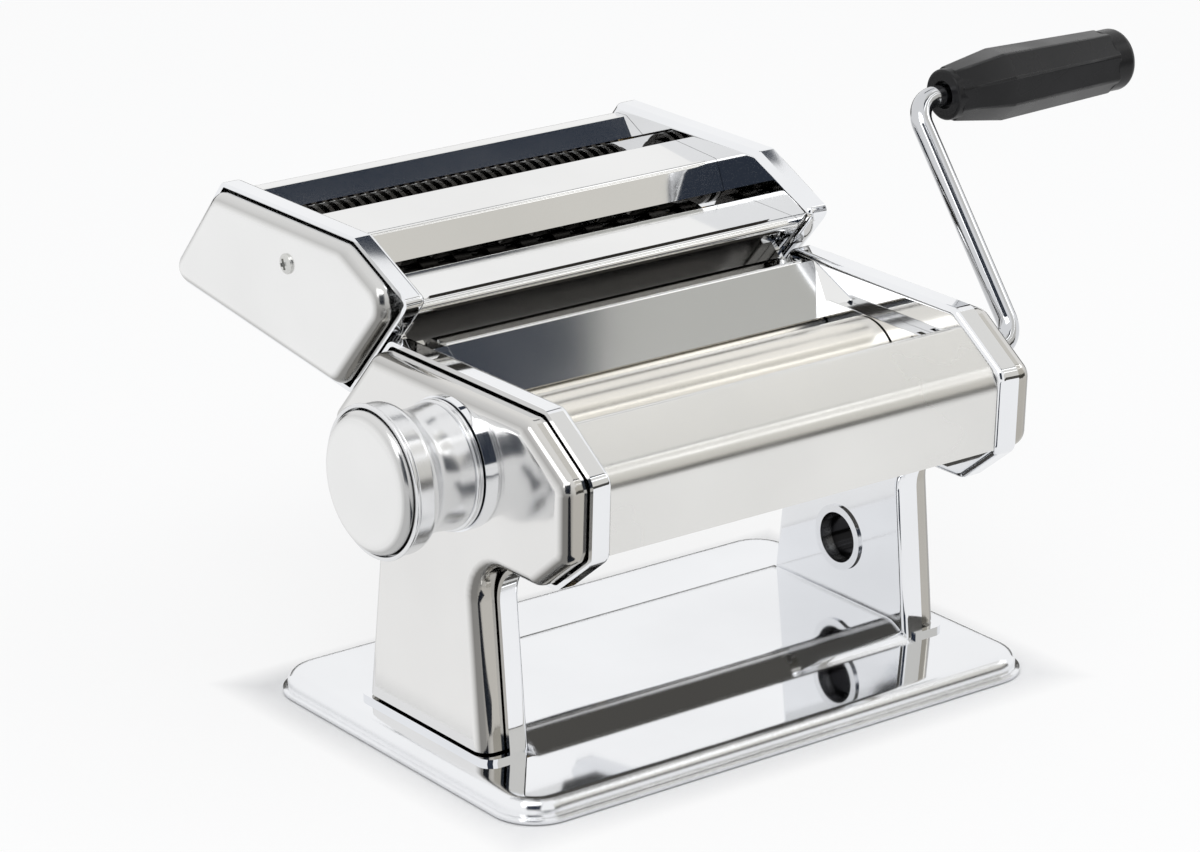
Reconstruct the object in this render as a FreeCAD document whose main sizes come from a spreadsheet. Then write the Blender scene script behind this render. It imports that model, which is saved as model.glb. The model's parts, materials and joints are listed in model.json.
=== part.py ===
"""Hand-cranked pasta roller machine with a slide-on noodle cutter.

X runs along the rollers, with the crank at +X and the thickness knob at -X.
Y runs from the feeding side to the cutter behind, Z is up, and it is drawn about
the middle of its base on the standing surface. All sizes are millimetres.
"""
import FreeCAD
import Part
import Sketcher
import math
import os
from FreeCAD import Placement, Rotation, Vector

doc = FreeCAD.newDocument("pasta_roller")

# Driving dimensions
SIZES = {
    # frame: side plates, their flanges and the drawn covers
    "inner_width": 150.0,
    "plate_wall": 1.5,
    "flange_depth": 6.0,
    "cover_reach": 16.0,
    "cover_wall": 1.0,
    "cover_gap": 0.7,
    "corner_round": 5.0,
    "notch_round": 12.0,
    "cover_corner_round": 6.0,
    "cover_edge_round": 5.0,
    "foot_flange_reach": 1.0,
    "bend_round": 2.2,
    "sheet_wall": 1.0,
    "sheet_bend": 1.2,
    "nose_bend": 9.0,
    "seat_gap": 0.2,
    # side outline, from the standing surface and the middle of the base
    "head_top": 124.5,
    "head_bottom": 69.5,
    "top_front": 55.0,
    "nose_front": 78.0,
    "nose_top": 108.7,
    "chin_front": 77.0,
    "chin_level": 83.0,
    "belly_front": 60.0,
    "leg_front": 30.0,
    "foot_front": 36.0,
    "leg_rear": 24.0,
    "foot_rear": 32.0,
    "belly_rear": 36.0,
    "head_rear": 48.5,
    "rear_low": 86.0,
    "rear_top": 98.5,
    "top_rear": 25.5,
    # base
    "base_width": 204.8,
    "base_depth": 140.6,
    "base_height": 7.3,
    "base_lip_reach": 1.5,
    "base_lip_height": 1.2,
    "base_edge_round": 3.7,
    "base_corner": 15.0,
    "platform_front": 38.8,
    "platform_rear": 33.0,
    "platform_rise": 5.0,
    "platform_slope": 2.3,
    "platform_run": 9.5,
    "platform_round": 10.0,
    "foot_pad_radius": 7.0,
    "foot_pad_inset": 14.0,
    "foot_pad_reach": 0.6,
    # rollers
    "roller_radius": 15.0,
    "roller_half": 69.5,
    "journal_radius": 6.0,
    "roll_level": 98.8,
    "knob_setback": 19.0,
    "knob_rise": 1.0,
    "nip_wide": 2.5,
    "nip_fine": 0.5,
    "running_fit": 0.06,
    # gears at the right end
    "gear_width": 4.0,
    "gear_gap": 0.6,
    "gear_backlash": 0.35,
    "drive_module": 2.25,
    "crank_rise": 13.0,
    # crank
    "rod_radius": 3.5,
    "rod_bend": 9.0,
    "arm_length": 86.0,
    "arm_lean": 52.0,
    "arm_offset": 32.0,
    "shaft_radius": 5.0,
    "grip_start": 44.8,
    "grip_length": 74.0,
    "grip_neck_radius": 8.3,
    "grip_ridge": 22.0,
    "grip_ridge_radius": 12.2,
    "grip_end_radius": 10.8,
    "grip_cap_length": 3.5,
    # knob
    "index_radius": 20.8,
    "index_wall": 2.2,
    "knob_gap": 0.4,
    "knob_base_radius": 20.2,
    "knob_waist_radius": 18.4,
    "knob_rim_radius": 23.8,
    "knob_length": 26.4,
    "knob_pull": 4.0,
    "cam_radius": 16.0,
    "cam_wall": 5.0,
    "follower_radius": 2.0,
    "follower_reach": 11.0,
    "index_steps": 9.0,
    "index_step_angle": 30.0,
    "spring_radius": 6.5,
    "spring_wire": 1.2,
    "spring_turns": 4.0,
    # clamp hole and fasteners
    "clamp_hole_radius": 8.5,
    "clamp_hole_level": 32.4,
    "clamp_hole_setback": 2.0,
    "tie_rod_radius": 3.0,
    "screw_radius": 1.5,
    # cutter
    "cutter_gap": 1.0,
    "cutter_cover_reach": 13.0,
    "cutter_top": 152.8,
    "cutter_top_front": 44.0,
    "cutter_nose": 14.8,
    "cutter_nose_top": 139.0,
    "cutter_nose_low": 17.5,
    "cutter_bottom_front": 101.5,
    "cutter_bottom_rear": 113.5,
    "cutter_heel": 143.0,
    "cutter_rear": 147.0,
    "cutter_rear_level": 119.5,
    "cutter_top_rear": 119.0,
    "cutter_radius": 10.0,
    "cutter_groove_radius": 8.3,
    "cutter_spacing": 18.6,
    "cutter_half": 68.0,
    "cutter_journal": 4.0,
    "fine_setback": 97.0,
    "fine_level": 133.0,
    "fine_pitch": 4.0,
    "wide_setback": 56.8,
    "wide_level": 123.0,
    "wide_slot_setback": 55.5,
    "wide_slot_level": 135.5,
    "wide_pitch": 13.0,
    "cutter_screw_setback": 73.5,
    "cutter_screw_level": 138.0,
    "cutter_slit": 0.15,
    "rail_half": 14.0,
}

sheet = doc.addObject("Spreadsheet::Sheet", "Sizes")
for row, (alias, number) in enumerate(SIZES.items(), start=1):
    sheet.set("A%d" % row, alias.replace("_", " "))
    sheet.set("B%d" % row, str(number))
    sheet.setAlias("B%d" % row, alias)
doc.recompute()


class Size:
    """A number worked out from the sheet, with the expression that gives it."""

    def __init__(self, value, text):
        self.value = float(value)
        self.text = text

    def __add__(self, other):
        other = as_size(other)
        return Size(self.value + other.value, "(%s + %s)" % (self.text, other.text))

    def __sub__(self, other):
        other = as_size(other)
        return Size(self.value - other.value, "(%s - %s)" % (self.text, other.text))

    def __mul__(self, other):
        other = as_size(other)
        return Size(self.value * other.value, "(%s * %s)" % (self.text, other.text))

    def __truediv__(self, other):
        other = as_size(other)
        return Size(self.value / other.value, "(%s / %s)" % (self.text, other.text))

    def __neg__(self):
        return Size(-self.value, "(0 - %s)" % self.text)

    def __radd__(self, other):
        return as_size(other) + self

    def __rsub__(self, other):
        return as_size(other) - self

    def __rmul__(self, other):
        return as_size(other) * self

    def __float__(self):
        return self.value


def as_size(number):
    """The same number as a Size, for plain numbers and Sizes alike."""
    return number if isinstance(number, Size) else Size(number, "%.9f" % number)


class Sizes:
    """Every cell of the sheet as an attribute."""


s = Sizes()
for alias in SIZES:
    setattr(s, alias, Size(sheet.get(alias), "Sizes." + alias))

pieces = []


def drive(target, path, size):
    """Bind one property of an object to the sheet."""
    target.setExpression(path, as_size(size).text)


def new_body(label, y=0.0, z=0.0, x=0.0):
    """A body whose own origin lies at x, y, z."""
    body = doc.addObject("PartDesign::Body", label)
    body.Label = label
    drive(body, "Placement.Base.x", x)
    drive(body, "Placement.Base.y", y)
    drive(body, "Placement.Base.z", z)
    pieces.append(body)
    return body


def sketch_on(body, role, offset=0.0):
    """A sketch on one of the body's own planes, moved along its normal."""
    sketch = body.newObject("Sketcher::SketchObject", body.Name + "_sketch")
    plane = [feature for feature in body.Origin.OriginFeatures if feature.Role == role][0]
    sketch.AttachmentSupport = [(plane, "")]
    sketch.MapMode = "FlatFace"
    drive(sketch, "AttachmentOffset.Base.z", offset)
    return sketch


def draw_polygon(sketch, points):
    """A closed outline of straight lines with every corner held to its sizes."""
    corners = [(as_size(a), as_size(b)) for a, b in points]
    count = len(corners)
    spots = [Vector(a.value, b.value, 0) for a, b in corners]
    sketch.addGeometry([Part.LineSegment(spots[i], spots[(i + 1) % count]) for i in range(count)], False)
    rules = [Sketcher.Constraint("Coincident", i, 2, (i + 1) % count, 1) for i in range(count)]
    for i, (a, b) in enumerate(corners):
        rules.append(Sketcher.Constraint("DistanceX", -1, 1, i, 1, a.value))
        rules.append(Sketcher.Constraint("DistanceY", -1, 1, i, 1, b.value))
    sketch.addConstraint(rules)
    for i, corner in enumerate(corners):
        for axis, size in enumerate(corner):
            drive(sketch, "Constraints[%d]" % (count + 2 * i + axis), size)


def draw_circle(sketch, a, b, radius):
    """A circle with its centre and radius held to their sizes."""
    a, b, radius = as_size(a), as_size(b), as_size(radius)
    circle = Part.Circle(Vector(a.value, b.value, 0), Vector(0, 0, 1), radius.value)
    sketch.addGeometry(circle, False)
    sketch.addConstraint([
        Sketcher.Constraint("DistanceX", -1, 1, 0, 3, a.value),
        Sketcher.Constraint("DistanceY", -1, 1, 0, 3, b.value),
        Sketcher.Constraint("Radius", 0, radius.value),
    ])
    for index, size in enumerate((a, b, radius)):
        drive(sketch, "Constraints[%d]" % index, size)


def pad(body, sketch, length):
    """Raise a sketch along its normal."""
    feature = body.newObject("PartDesign::Pad", body.Name + "_pad")
    feature.Profile = sketch
    drive(feature, "Length", length)
    doc.recompute()
    return feature


def cut(body, sketch, length):
    """Cut a sketch along its normal, and make sure that it takes material away."""
    before = body.Shape.Volume
    feature = body.newObject("PartDesign::Pocket", body.Name + "_cut")
    feature.Profile = sketch
    feature.Reversed = True
    drive(feature, "Length", length)
    doc.recompute()
    if body.Shape.Volume > before - 1e-6:
        raise RuntimeError("a cut in %s takes nothing away" % body.Label)
    return feature


def slab(body, points, low, high, role="YZ_Plane"):
    """A flat outline raised between two heights along the plane's normal."""
    sketch = sketch_on(body, role, low)
    draw_polygon(sketch, points)
    return pad(body, sketch, as_size(high) - low)


def slot(body, points, low, high, role="YZ_Plane"):
    """A polygonal cut between two heights along the plane's normal."""
    sketch = sketch_on(body, role, low)
    draw_polygon(sketch, points)
    return cut(body, sketch, as_size(high) - low)


def disc(body, a, b, radius, low, high, role="YZ_Plane"):
    """A round boss between two heights along the plane's normal."""
    sketch = sketch_on(body, role, low)
    draw_circle(sketch, a, b, radius)
    return pad(body, sketch, as_size(high) - low)


def hole(body, a, b, radius, low, high, role="YZ_Plane"):
    """A round hole between two heights along the plane's normal."""
    sketch = sketch_on(body, role, low)
    draw_circle(sketch, a, b, radius)
    return cut(body, sketch, as_size(high) - low)


def turn(body, points):
    """A profile of (along X, radius) points turned about the body's X axis."""
    sketch = sketch_on(body, "XZ_Plane")
    draw_polygon(sketch, points)
    feature = body.newObject("PartDesign::Revolution", body.Name + "_turn")
    feature.Profile = sketch
    feature.ReferenceAxis = (sketch, ["H_Axis"])
    feature.Angle = 360.0
    doc.recompute()
    return feature


def round_edges(body, radius, wanted):
    """Round the edges of the body's last feature that the test wants."""
    base = body.Tip
    names = ["Edge%d" % i for i, edge in enumerate(base.Shape.Edges, start=1) if wanted(edge)]
    feature = body.newObject("PartDesign::Fillet", body.Name + "_round")
    feature.Base = (base, names)
    drive(feature, "Radius", radius)
    doc.recompute()
    return feature


def runs_along_x(edge):
    """True for a straight edge parallel to X."""
    box = edge.BoundBox
    return box.XLength > 1e-6 and box.YLength < 1e-6 and box.ZLength < 1e-6


def edge_near(a, b, reach=0.05):
    """A test for straight X edges that pass through a point of the YZ plane."""
    a, b = float(a), float(b)

    def wanted(edge):
        box = edge.BoundBox
        return runs_along_x(edge) and abs(box.YMin - a) < reach and abs(box.ZMin - b) < reach
    return wanted


def lies_at_x(place):
    """A test for edges that lie in one plane across X."""
    place = float(place)

    def wanted(edge):
        box = edge.BoundBox
        return abs(box.XMin - place) < 1e-6 and abs(box.XMax - place) < 1e-6
    return wanted


def hollow(body, wall, open_face):
    """Leave a wall of even thickness inside the body, open at one face."""
    base = body.Tip
    names = ["Face%d" % i for i, face in enumerate(base.Shape.Faces, start=1) if open_face(face)]
    feature = body.newObject("PartDesign::Thickness", body.Name + "_hollow")
    feature.Base = (base, names)
    feature.Reversed = True
    drive(feature, "Value", wall)
    doc.recompute()
    return feature


def plain(points):
    """Outline points as pairs of numbers."""
    return [(float(a), float(b)) for a, b in points]


def inset(points, distance):
    """The outline moved inwards by a distance; the points go round anticlockwise."""
    points = plain(points)
    distance = float(distance)
    moved = []
    for i, (a, b) in enumerate(points):
        before, after = points[i - 1], points[(i + 1) % len(points)]
        in_a, in_b = a - before[0], b - before[1]
        out_a, out_b = after[0] - a, after[1] - b
        in_length, out_length = math.hypot(in_a, in_b), math.hypot(out_a, out_b)
        in_normal = (-in_b / in_length, in_a / in_length)
        out_normal = (-out_b / out_length, out_a / out_length)
        share = 1.0 + in_normal[0] * out_normal[0] + in_normal[1] * out_normal[1]
        moved.append((a + distance * (in_normal[0] + out_normal[0]) / share,
                      b + distance * (in_normal[1] + out_normal[1]) / share))
    return moved


def towards(start, end, distance):
    """The point a distance along the way from one point to another."""
    reach = math.hypot(end[0] - start[0], end[1] - start[1])
    return (start[0] + (end[0] - start[0]) * distance / reach,
            start[1] + (end[1] - start[1]) * distance / reach)


def crossing(start, end, other_start, other_end):
    """The point where two lines of the YZ plane cross."""
    way = (end[0] - start[0], end[1] - start[1])
    other = (other_end[0] - other_start[0], other_end[1] - other_start[1])
    gap = (other_start[0] - start[0], other_start[1] - start[1])
    share = (gap[0] * other[1] - gap[1] * other[0]) / (way[0] * other[1] - way[1] * other[0])
    return (start[0] + share * way[0], start[1] + share * way[1])


def folded_sheet(label, path, half_width, first_bend=s.sheet_bend):
    """Sheet metal bent along a path of the YZ plane; the path is its left-hand face."""
    wall = s.sheet_wall
    body = new_body(label)
    path = plain(path)
    closed = path + [path[-1]]
    back = []
    for i, (a, b) in enumerate(path):
        before = path[i - 1] if i else None
        after = closed[i + 1] if i + 1 < len(path) else None
        normals = []
        for start, end in ((before, (a, b)), ((a, b), after)):
            if start and end:
                length = math.hypot(end[0] - start[0], end[1] - start[1])
                normals.append(((end[1] - start[1]) / length, (start[0] - end[0]) / length))
        first, last = normals[0], normals[-1]
        share = 1.0 + first[0] * last[0] + first[1] * last[1]
        spread = wall.value * 2.0 / share / 2.0
        back.append((a + spread * (first[0] + last[0]), b + spread * (first[1] + last[1])))
    slab(body, path + back[::-1], -half_width, half_width)
    for front_corner, back_corner in zip(path[1:-1], back[1:-1]):
        i = path.index(front_corner)
        before, after = path[i - 1], path[i + 1]
        turning = ((front_corner[0] - before[0]) * (after[1] - front_corner[1])
                   - (front_corner[1] - before[1]) * (after[0] - front_corner[0]))
        inner, outer = (front_corner, back_corner) if turning > 0 else (back_corner, front_corner)
        bend = first_bend if i == 1 else s.sheet_bend
        round_edges(body, bend, edge_near(*inner))
        round_edges(body, bend + wall, edge_near(*outer))
    return body


def side_range(side, near, far):
    """The X range between two distances from the middle, on one side."""
    near, far = as_size(near), as_size(far)
    return (near, far) if side > 0 else (-far, -near)


SIDES = (("left", -1), ("right", 1))

# Places that several pieces share
plate_inner = s.inner_width / 2
plate_outer = plate_inner + s.plate_wall
flange_rim = plate_inner + s.plate_wall + s.flange_depth
cover_face = plate_inner + s.cover_reach
cover_start = plate_outer + s.seat_gap
foot_level = s.base_height
foot_rim = cover_face + s.foot_flange_reach

travel = s.nip_wide - s.nip_fine
knob_y = -s.knob_setback
knob_z = s.roll_level + s.knob_rise
front_y = knob_y - travel / 2
rear_y = knob_y + travel / 2 + s.roller_radius * 2 + s.nip_fine

# The side outline, anticlockwise as seen from the crank end
side_outline = [
    (-s.foot_front, foot_level),
    (s.foot_rear, foot_level),
    (s.leg_rear, s.head_bottom),
    (s.belly_rear, s.head_bottom),
    (s.head_rear, s.rear_low),
    (s.head_rear, s.rear_top),
    (s.top_rear, s.head_top),
    (-s.top_front, s.head_top),
    (-s.nose_front, s.nose_top),
    (-s.chin_front, s.chin_level),
    (-s.belly_front, s.head_bottom),
    (-s.leg_front, s.head_bottom),
]
NOTCHES = (2, 11)
FOOT_CORNERS = (0, 1)


def tray(body, outline, notches, side, bottom, rim, wall, corner, notch, edge, square=()):
    """A drawn tray: an outline with rounded corners, a floor and a wall round its rim.

    The corners listed as square stay sharp, and so does the edge between them.
    """
    near, far = sorted((bottom, rim), key=float)
    low, high = side_range(side, near, far)
    slab(body, outline, low, high)
    spots = plain(outline)
    convex = [edge_near(*spot) for i, spot in enumerate(spots) if i not in notches and i not in square]
    concave = [edge_near(*spot) for i, spot in enumerate(spots) if i in notches]
    round_edges(body, corner, lambda e: any(test(e) for test in convex))
    if concave:
        round_edges(body, notch, lambda e: any(test(e) for test in concave))
    floor = float(bottom) * side
    opening = float(rim) * side
    trimmed = max((spots[i][1] for i in square), default=-math.inf)
    round_edges(body, edge, lambda e: lies_at_x(floor)(e) and e.BoundBox.ZMax > trimmed + 1e-6)

    def is_opening(face):
        box = face.BoundBox
        return abs(box.XMin - opening) < 1e-6 and abs(box.XMax - opening) < 1e-6
    hollow(body, wall, is_opening)


# Base: one pressed plate with a lip round its foot, a rounded edge and a raised middle
base = new_body("base_plate")
base_lip = s.foot_pad_reach
lip_top = base_lip + s.base_lip_height
half_w, half_d = s.base_width / 2, s.base_depth / 2
wall_w, wall_d = half_w - s.base_lip_reach, half_d - s.base_lip_reach
slab(base, [(-wall_w, -wall_d), (wall_w, -wall_d), (wall_w, wall_d), (-wall_w, wall_d)],
     base_lip, s.base_height, "XY_Plane")


def is_upright(edge):
    box = edge.BoundBox
    return box.ZLength > 1e-6 and box.XLength < 1e-6 and box.YLength < 1e-6


def lies_at_z(place):
    place = float(place)
    return lambda edge: abs(edge.BoundBox.ZMin - place) < 1e-6 and abs(edge.BoundBox.ZMax - place) < 1e-6


round_edges(base, s.base_corner - s.base_lip_reach, is_upright)
round_edges(base, s.base_edge_round, lies_at_z(s.base_height))
slab(base, [(-half_w, -half_d), (half_w, -half_d), (half_w, half_d), (-half_w, half_d)],
     base_lip, lip_top, "XY_Plane")
round_edges(base, s.base_corner, lambda edge: is_upright(edge) and edge.BoundBox.ZMax < float(lip_top) + 1e-6)
hollow(base, s.sheet_wall,
       lambda face: abs(face.BoundBox.ZMin - float(base_lip)) < 1e-6 and face.BoundBox.ZLength < 1e-6)
platform_half = plate_inner - s.seat_gap
platform_top = s.base_height + s.platform_rise
platform_crest = -s.platform_front + s.platform_run
slab(base, [(-s.platform_front, s.base_height - s.sheet_wall), (s.platform_rear, s.base_height - s.sheet_wall),
            (s.platform_rear, platform_top - s.platform_slope), (s.platform_rear - s.platform_slope, platform_top),
            (platform_crest, platform_top), (-s.platform_front, s.base_height)], -platform_half, platform_half)
round_edges(base, s.platform_round, edge_near(platform_crest, platform_top))
slot(base, [(-platform_half + s.sheet_wall, platform_crest), (platform_half - s.sheet_wall, platform_crest),
            (platform_half - s.sheet_wall, s.platform_rear - s.platform_slope),
            (-platform_half + s.sheet_wall, s.platform_rear - s.platform_slope)],
     base_lip, platform_top - s.sheet_wall, "XY_Plane")
base_screw_x = plate_outer + s.flange_depth / 2
base_screw_spots = [(base_screw_x * side, y) for side in (-1, 1)
                    for y in (-s.leg_front + 8, s.leg_rear - 6)]
for x, y in base_screw_spots:
    hole(base, x, y, s.screw_radius + s.running_fit, base_lip, s.base_height + 1, "XY_Plane")


def cylinder(name, radius, height, x, y, z, along="Z"):
    """A round bar standing at x, y, z along one axis."""
    bar = doc.addObject("Part::Cylinder", name)
    drive(bar, "Radius", radius)
    drive(bar, "Height", height)
    if along == "X":
        bar.Placement = Placement(Vector(0, 0, 0), Rotation(Vector(0, 1, 0), 90))
    for axis, place in zip("xyz", (x, y, z)):
        drive(bar, "Placement.Base." + axis, place)
    return bar


def joined(name, parts):
    """Several solids grown into one."""
    fuse = doc.addObject("Part::MultiFuse", name)
    fuse.Shapes = parts
    fuse.Refine = True
    return fuse


def bored(name, outer, inner):
    """One solid with another taken out of it."""
    ring = doc.addObject("Part::Cut", name)
    ring.Base = outer
    ring.Tool = inner
    return ring


def group(label, parts):
    """A node of several like solids."""
    compound = doc.addObject("Part::Compound", label)
    compound.Label = label
    compound.Links = parts
    pieces.append(compound)
    return compound


group("rubber_feet", [
    cylinder("rubber_foot", s.foot_pad_radius, s.base_height - s.sheet_wall,
             (half_w - s.foot_pad_inset) * along, (half_d - s.foot_pad_inset) * across, 0.0)
    for along in (-1, 1) for across in (-1, 1)])

screw_head = s.screw_radius * 2
head_height = s.screw_radius * 1.2
screw_top = foot_level + s.plate_wall - s.seat_gap
group("base_screws", [
    joined("base_screw", [
        cylinder("base_screw_head", screw_head, head_height, x, y, s.base_height - s.sheet_wall - head_height),
        cylinder("base_screw_shank", s.screw_radius, screw_top - s.base_height + s.sheet_wall, x, y,
                 s.base_height - s.sheet_wall)])
    for x, y in base_screw_spots])

# Places of the tie rods, the cover screws and the crank, on the side plates
crank_turn = math.radians(s.crank_rise.value)
PINION_TEETH, DRIVE_TEETH, SPUR_TEETH = 10, 17, 12
drive_centre = s.drive_module * (PINION_TEETH + DRIVE_TEETH) / 2 + s.seat_gap / 2
crank_y = front_y - drive_centre * math.cos(crank_turn)
crank_z = s.roll_level + drive_centre * math.sin(crank_turn)
scraper_rod = (rear_y, s.head_bottom + 4.5)
tie_rod_spots = [scraper_rod, (-s.belly_front - 6, s.chin_level + 7), (s.belly_rear + 2, s.rear_low + 6)]
cover_screw_spots = [(-s.belly_front + 12, s.chin_level - 1), (s.belly_rear - 2, s.rear_low - 3)]
block_front, block_rear, block_half = 10.0, 10.0, 10.0
plate_bush_radius = s.shaft_radius + 2
rear_bush_radius = s.journal_radius + 2

# Side plates: flanged trays that carry everything, standing on the base with a wider foot
for word, side in SIDES:
    plate = new_body(word + "_side_plate")
    tray(plate, side_outline, NOTCHES, side, plate_inner, flange_rim, s.plate_wall,
         s.corner_round, s.notch_round, s.bend_round, FOOT_CORNERS)
    low, high = side_range(side, plate_outer + s.bend_round, foot_rim)
    slab(plate, [(low, -s.foot_front - s.foot_flange_reach), (high, -s.foot_front - s.foot_flange_reach),
                 (high, s.foot_rear + s.foot_flange_reach), (low, s.foot_rear + s.foot_flange_reach)],
         foot_level, foot_level + s.plate_wall, "XY_Plane")
    round_edges(plate, s.corner_round, lambda edge: is_upright(edge) and lies_at_x(foot_rim * side)(edge))
    low, high = side_range(side, plate_inner - 1, plate_outer + 1)
    window = block_front + s.seat_gap
    slot(plate, [(front_y - window, s.roll_level - block_half - s.seat_gap),
                 (front_y + travel + block_rear + s.seat_gap, s.roll_level - block_half - s.seat_gap),
                 (front_y + travel + block_rear + s.seat_gap, s.roll_level + block_half + s.seat_gap),
                 (front_y - window, s.roll_level + block_half + s.seat_gap)], low, high)
    hole(plate, rear_y, s.roll_level, rear_bush_radius, low, high)
    for y, z in tie_rod_spots:
        hole(plate, y, z, s.tie_rod_radius - 0.5 + s.running_fit, low, high)
    for y, z in cover_screw_spots:
        hole(plate, y, z, s.screw_radius + s.running_fit, low, high)
    if side > 0:
        hole(plate, crank_y, crank_z, plate_bush_radius, low, high)
        hole(plate, -s.clamp_hole_setback, s.clamp_hole_level, s.clamp_hole_radius + s.plate_wall, low, high)
    for x, y in base_screw_spots:
        if float(x) * side > 0:
            hole(plate, x, y, s.screw_radius + s.running_fit, foot_level - 1, foot_level + s.plate_wall + 1,
                 "XY_Plane")

# Covers: deep-drawn caps that nest inside the flanges, with screw pillars inside
cover_outline = inset(side_outline, s.plate_wall + s.cover_gap)
knob_bush_radius = s.shaft_radius + 3
for word, side in SIDES:
    cover = new_body(word + "_cover")
    tray(cover, cover_outline, NOTCHES, side, cover_face, cover_start, s.cover_wall,
         s.cover_corner_round, s.notch_round + s.plate_wall, s.cover_edge_round, FOOT_CORNERS)
    pillar_low, pillar_high = side_range(side, cover_start, cover_face - s.cover_wall / 2)
    bore_low, bore_high = side_range(side, cover_start - 1, cover_face - s.cover_wall * 2)
    for y, z in cover_screw_spots:
        disc(cover, y, z, s.screw_radius + 2, pillar_low, pillar_high)
        hole(cover, y, z, s.screw_radius + s.running_fit, bore_low, bore_high)
    low, high = side_range(side, cover_face - s.cover_wall - 1, cover_face + 1)
    if side > 0:
        hole(cover, crank_y, crank_z, knob_bush_radius, low, high)
        hole(cover, -s.clamp_hole_setback, s.clamp_hole_level, s.clamp_hole_radius + s.plate_wall, low, high)
    else:
        hole(cover, knob_y, knob_z, knob_bush_radius, low, high)

screw_reach = s.cover_reach / 2
group("cover_screws", [
    joined("cover_screw", [
        cylinder("cover_screw_head", screw_head, head_height,
                 plate_inner - head_height if side > 0 else -plate_inner, y, z, "X"),
        cylinder("cover_screw_shank", s.screw_radius, screw_reach,
                 plate_inner if side > 0 else -plate_inner - screw_reach, y, z, "X")])
    for word, side in SIDES for y, z in cover_screw_spots])

# Front panel: a folded sheet that follows the nose, with a lip along its top
panel_line = inset(side_outline, s.plate_wall)
nose_start = towards(panel_line[7], panel_line[8], 5.0)
lip_end = (nose_start[0] + 5.0, nose_start[1] - 2.0)
folded_sheet("front_panel", [panel_line[9], panel_line[8], nose_start, lip_end],
             plate_inner - s.seat_gap / 2, s.nose_bend)

# Rear panel: a folded sheet behind the rear roller, between the attachment rails
rail_wall = 6.0
rear_line = inset(side_outline, s.plate_wall)
rear_path = [(float(s.top_rear) - 7.0, float(s.head_top) - 2.6),
             (rear_line[6][0] - 1.0, float(s.head_top) - 2.6), rear_line[5], rear_line[4],
             towards(rear_line[4], rear_line[3], 10.0)]
folded_sheet("rear_panel", rear_path[::-1], plate_inner - rail_wall - s.seat_gap * 2)

# Feed plate: the slope that the dough slides down into the nip
feed_foot = (float(rear_y) - 13.5, float(s.roll_level) + 10.2)
feed_crest = (float(s.top_rear) - 11.5, float(s.head_top) - 1.3)
feed_back = (float(s.top_rear) - 7.2, float(s.head_top) - 1.3)
guide_top = s.roll_level + s.roller_radius + 0.4
guide_inner = s.roller_half + s.seat_gap * 2.5
feed = folded_sheet("feed_plate", [feed_back, feed_crest, feed_foot], guide_inner - s.seat_gap)
wing_low = float(guide_top) + 1.0
share = (wing_low - feed_foot[1]) / (feed_crest[1] - feed_foot[1])
wing_foot = (feed_foot[0] + share * (feed_crest[0] - feed_foot[0]), wing_low)
slope = math.hypot(feed_crest[0] - feed_foot[0], feed_crest[1] - feed_foot[1])
sheet_normal = ((feed_crest[1] - feed_foot[1]) / slope, -(feed_crest[0] - feed_foot[0]) / slope)
wing_back = [(a + sheet_normal[0] * s.sheet_wall.value, b + sheet_normal[1] * s.sheet_wall.value)
             for a, b in (wing_foot, towards(feed_crest, feed_foot, 3.0))]
for word, side in SIDES:
    low, high = side_range(side, guide_inner - s.seat_gap - 1, plate_inner - s.seat_gap / 2)
    slab(feed, [wing_foot, wing_back[0], wing_back[1], towards(feed_crest, feed_foot, 3.0)], low, high)

# Dough guides: bent sheets that close the ends of the roller gap
for word, side in SIDES:
    guide = new_body(word + "_dough_guide")
    low, high = side_range(side, guide_inner, guide_inner + s.sheet_wall)
    front_end, rear_end = front_y - s.roller_radius - 6, rear_y + s.roller_radius
    foot = s.roll_level - s.roller_radius
    slab(guide, [(front_end, foot), (rear_end, foot), (rear_end, guide_top - 8), (rear_y - 6, guide_top - 2),
                 (rear_y - 13, guide_top), (front_end, guide_top)], low, high)
    low, high = side_range(side, guide_inner, plate_inner - s.seat_gap / 2)
    slab(guide, [(front_end - 7, guide_top - s.sheet_wall), (rear_y - 17, guide_top - s.sheet_wall),
                 (rear_y - 17, guide_top), (front_end - 7, guide_top)], low, high)
    low, high = side_range(side, guide_inner - 1, guide_inner + s.sheet_wall + 1)
    reach = s.journal_radius + 1.5
    slot(guide, [(front_y - reach, s.roll_level - reach), (front_y + travel + reach, s.roll_level - reach),
                 (front_y + travel + reach, s.roll_level + reach), (front_y - reach, s.roll_level + reach)],
         low, high)
    hole(guide, rear_y, s.roll_level, reach, low, high)
    low, high = side_range(side, guide_inner + 1.2, guide_inner + 3.2)
    slot(guide, [(front_end - 6, guide_top - 2), (front_end - 1, guide_top - 2),
                 (front_end - 1, guide_top + 1), (front_end - 6, guide_top + 1)], low, high)

# Tie rods that hold the two side plates apart, and their nuts
rod_end = plate_outer + 4.5
thread_radius = s.tie_rod_radius - 0.5
group("tie_rods", [
    joined("tie_rod", [
        cylinder("tie_rod_bar", s.tie_rod_radius, plate_inner * 2, -plate_inner, y, z, "X"),
        cylinder("tie_rod_thread", thread_radius, rod_end * 2, -rod_end, y, z, "X")])
    for y, z in tie_rod_spots])


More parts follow.
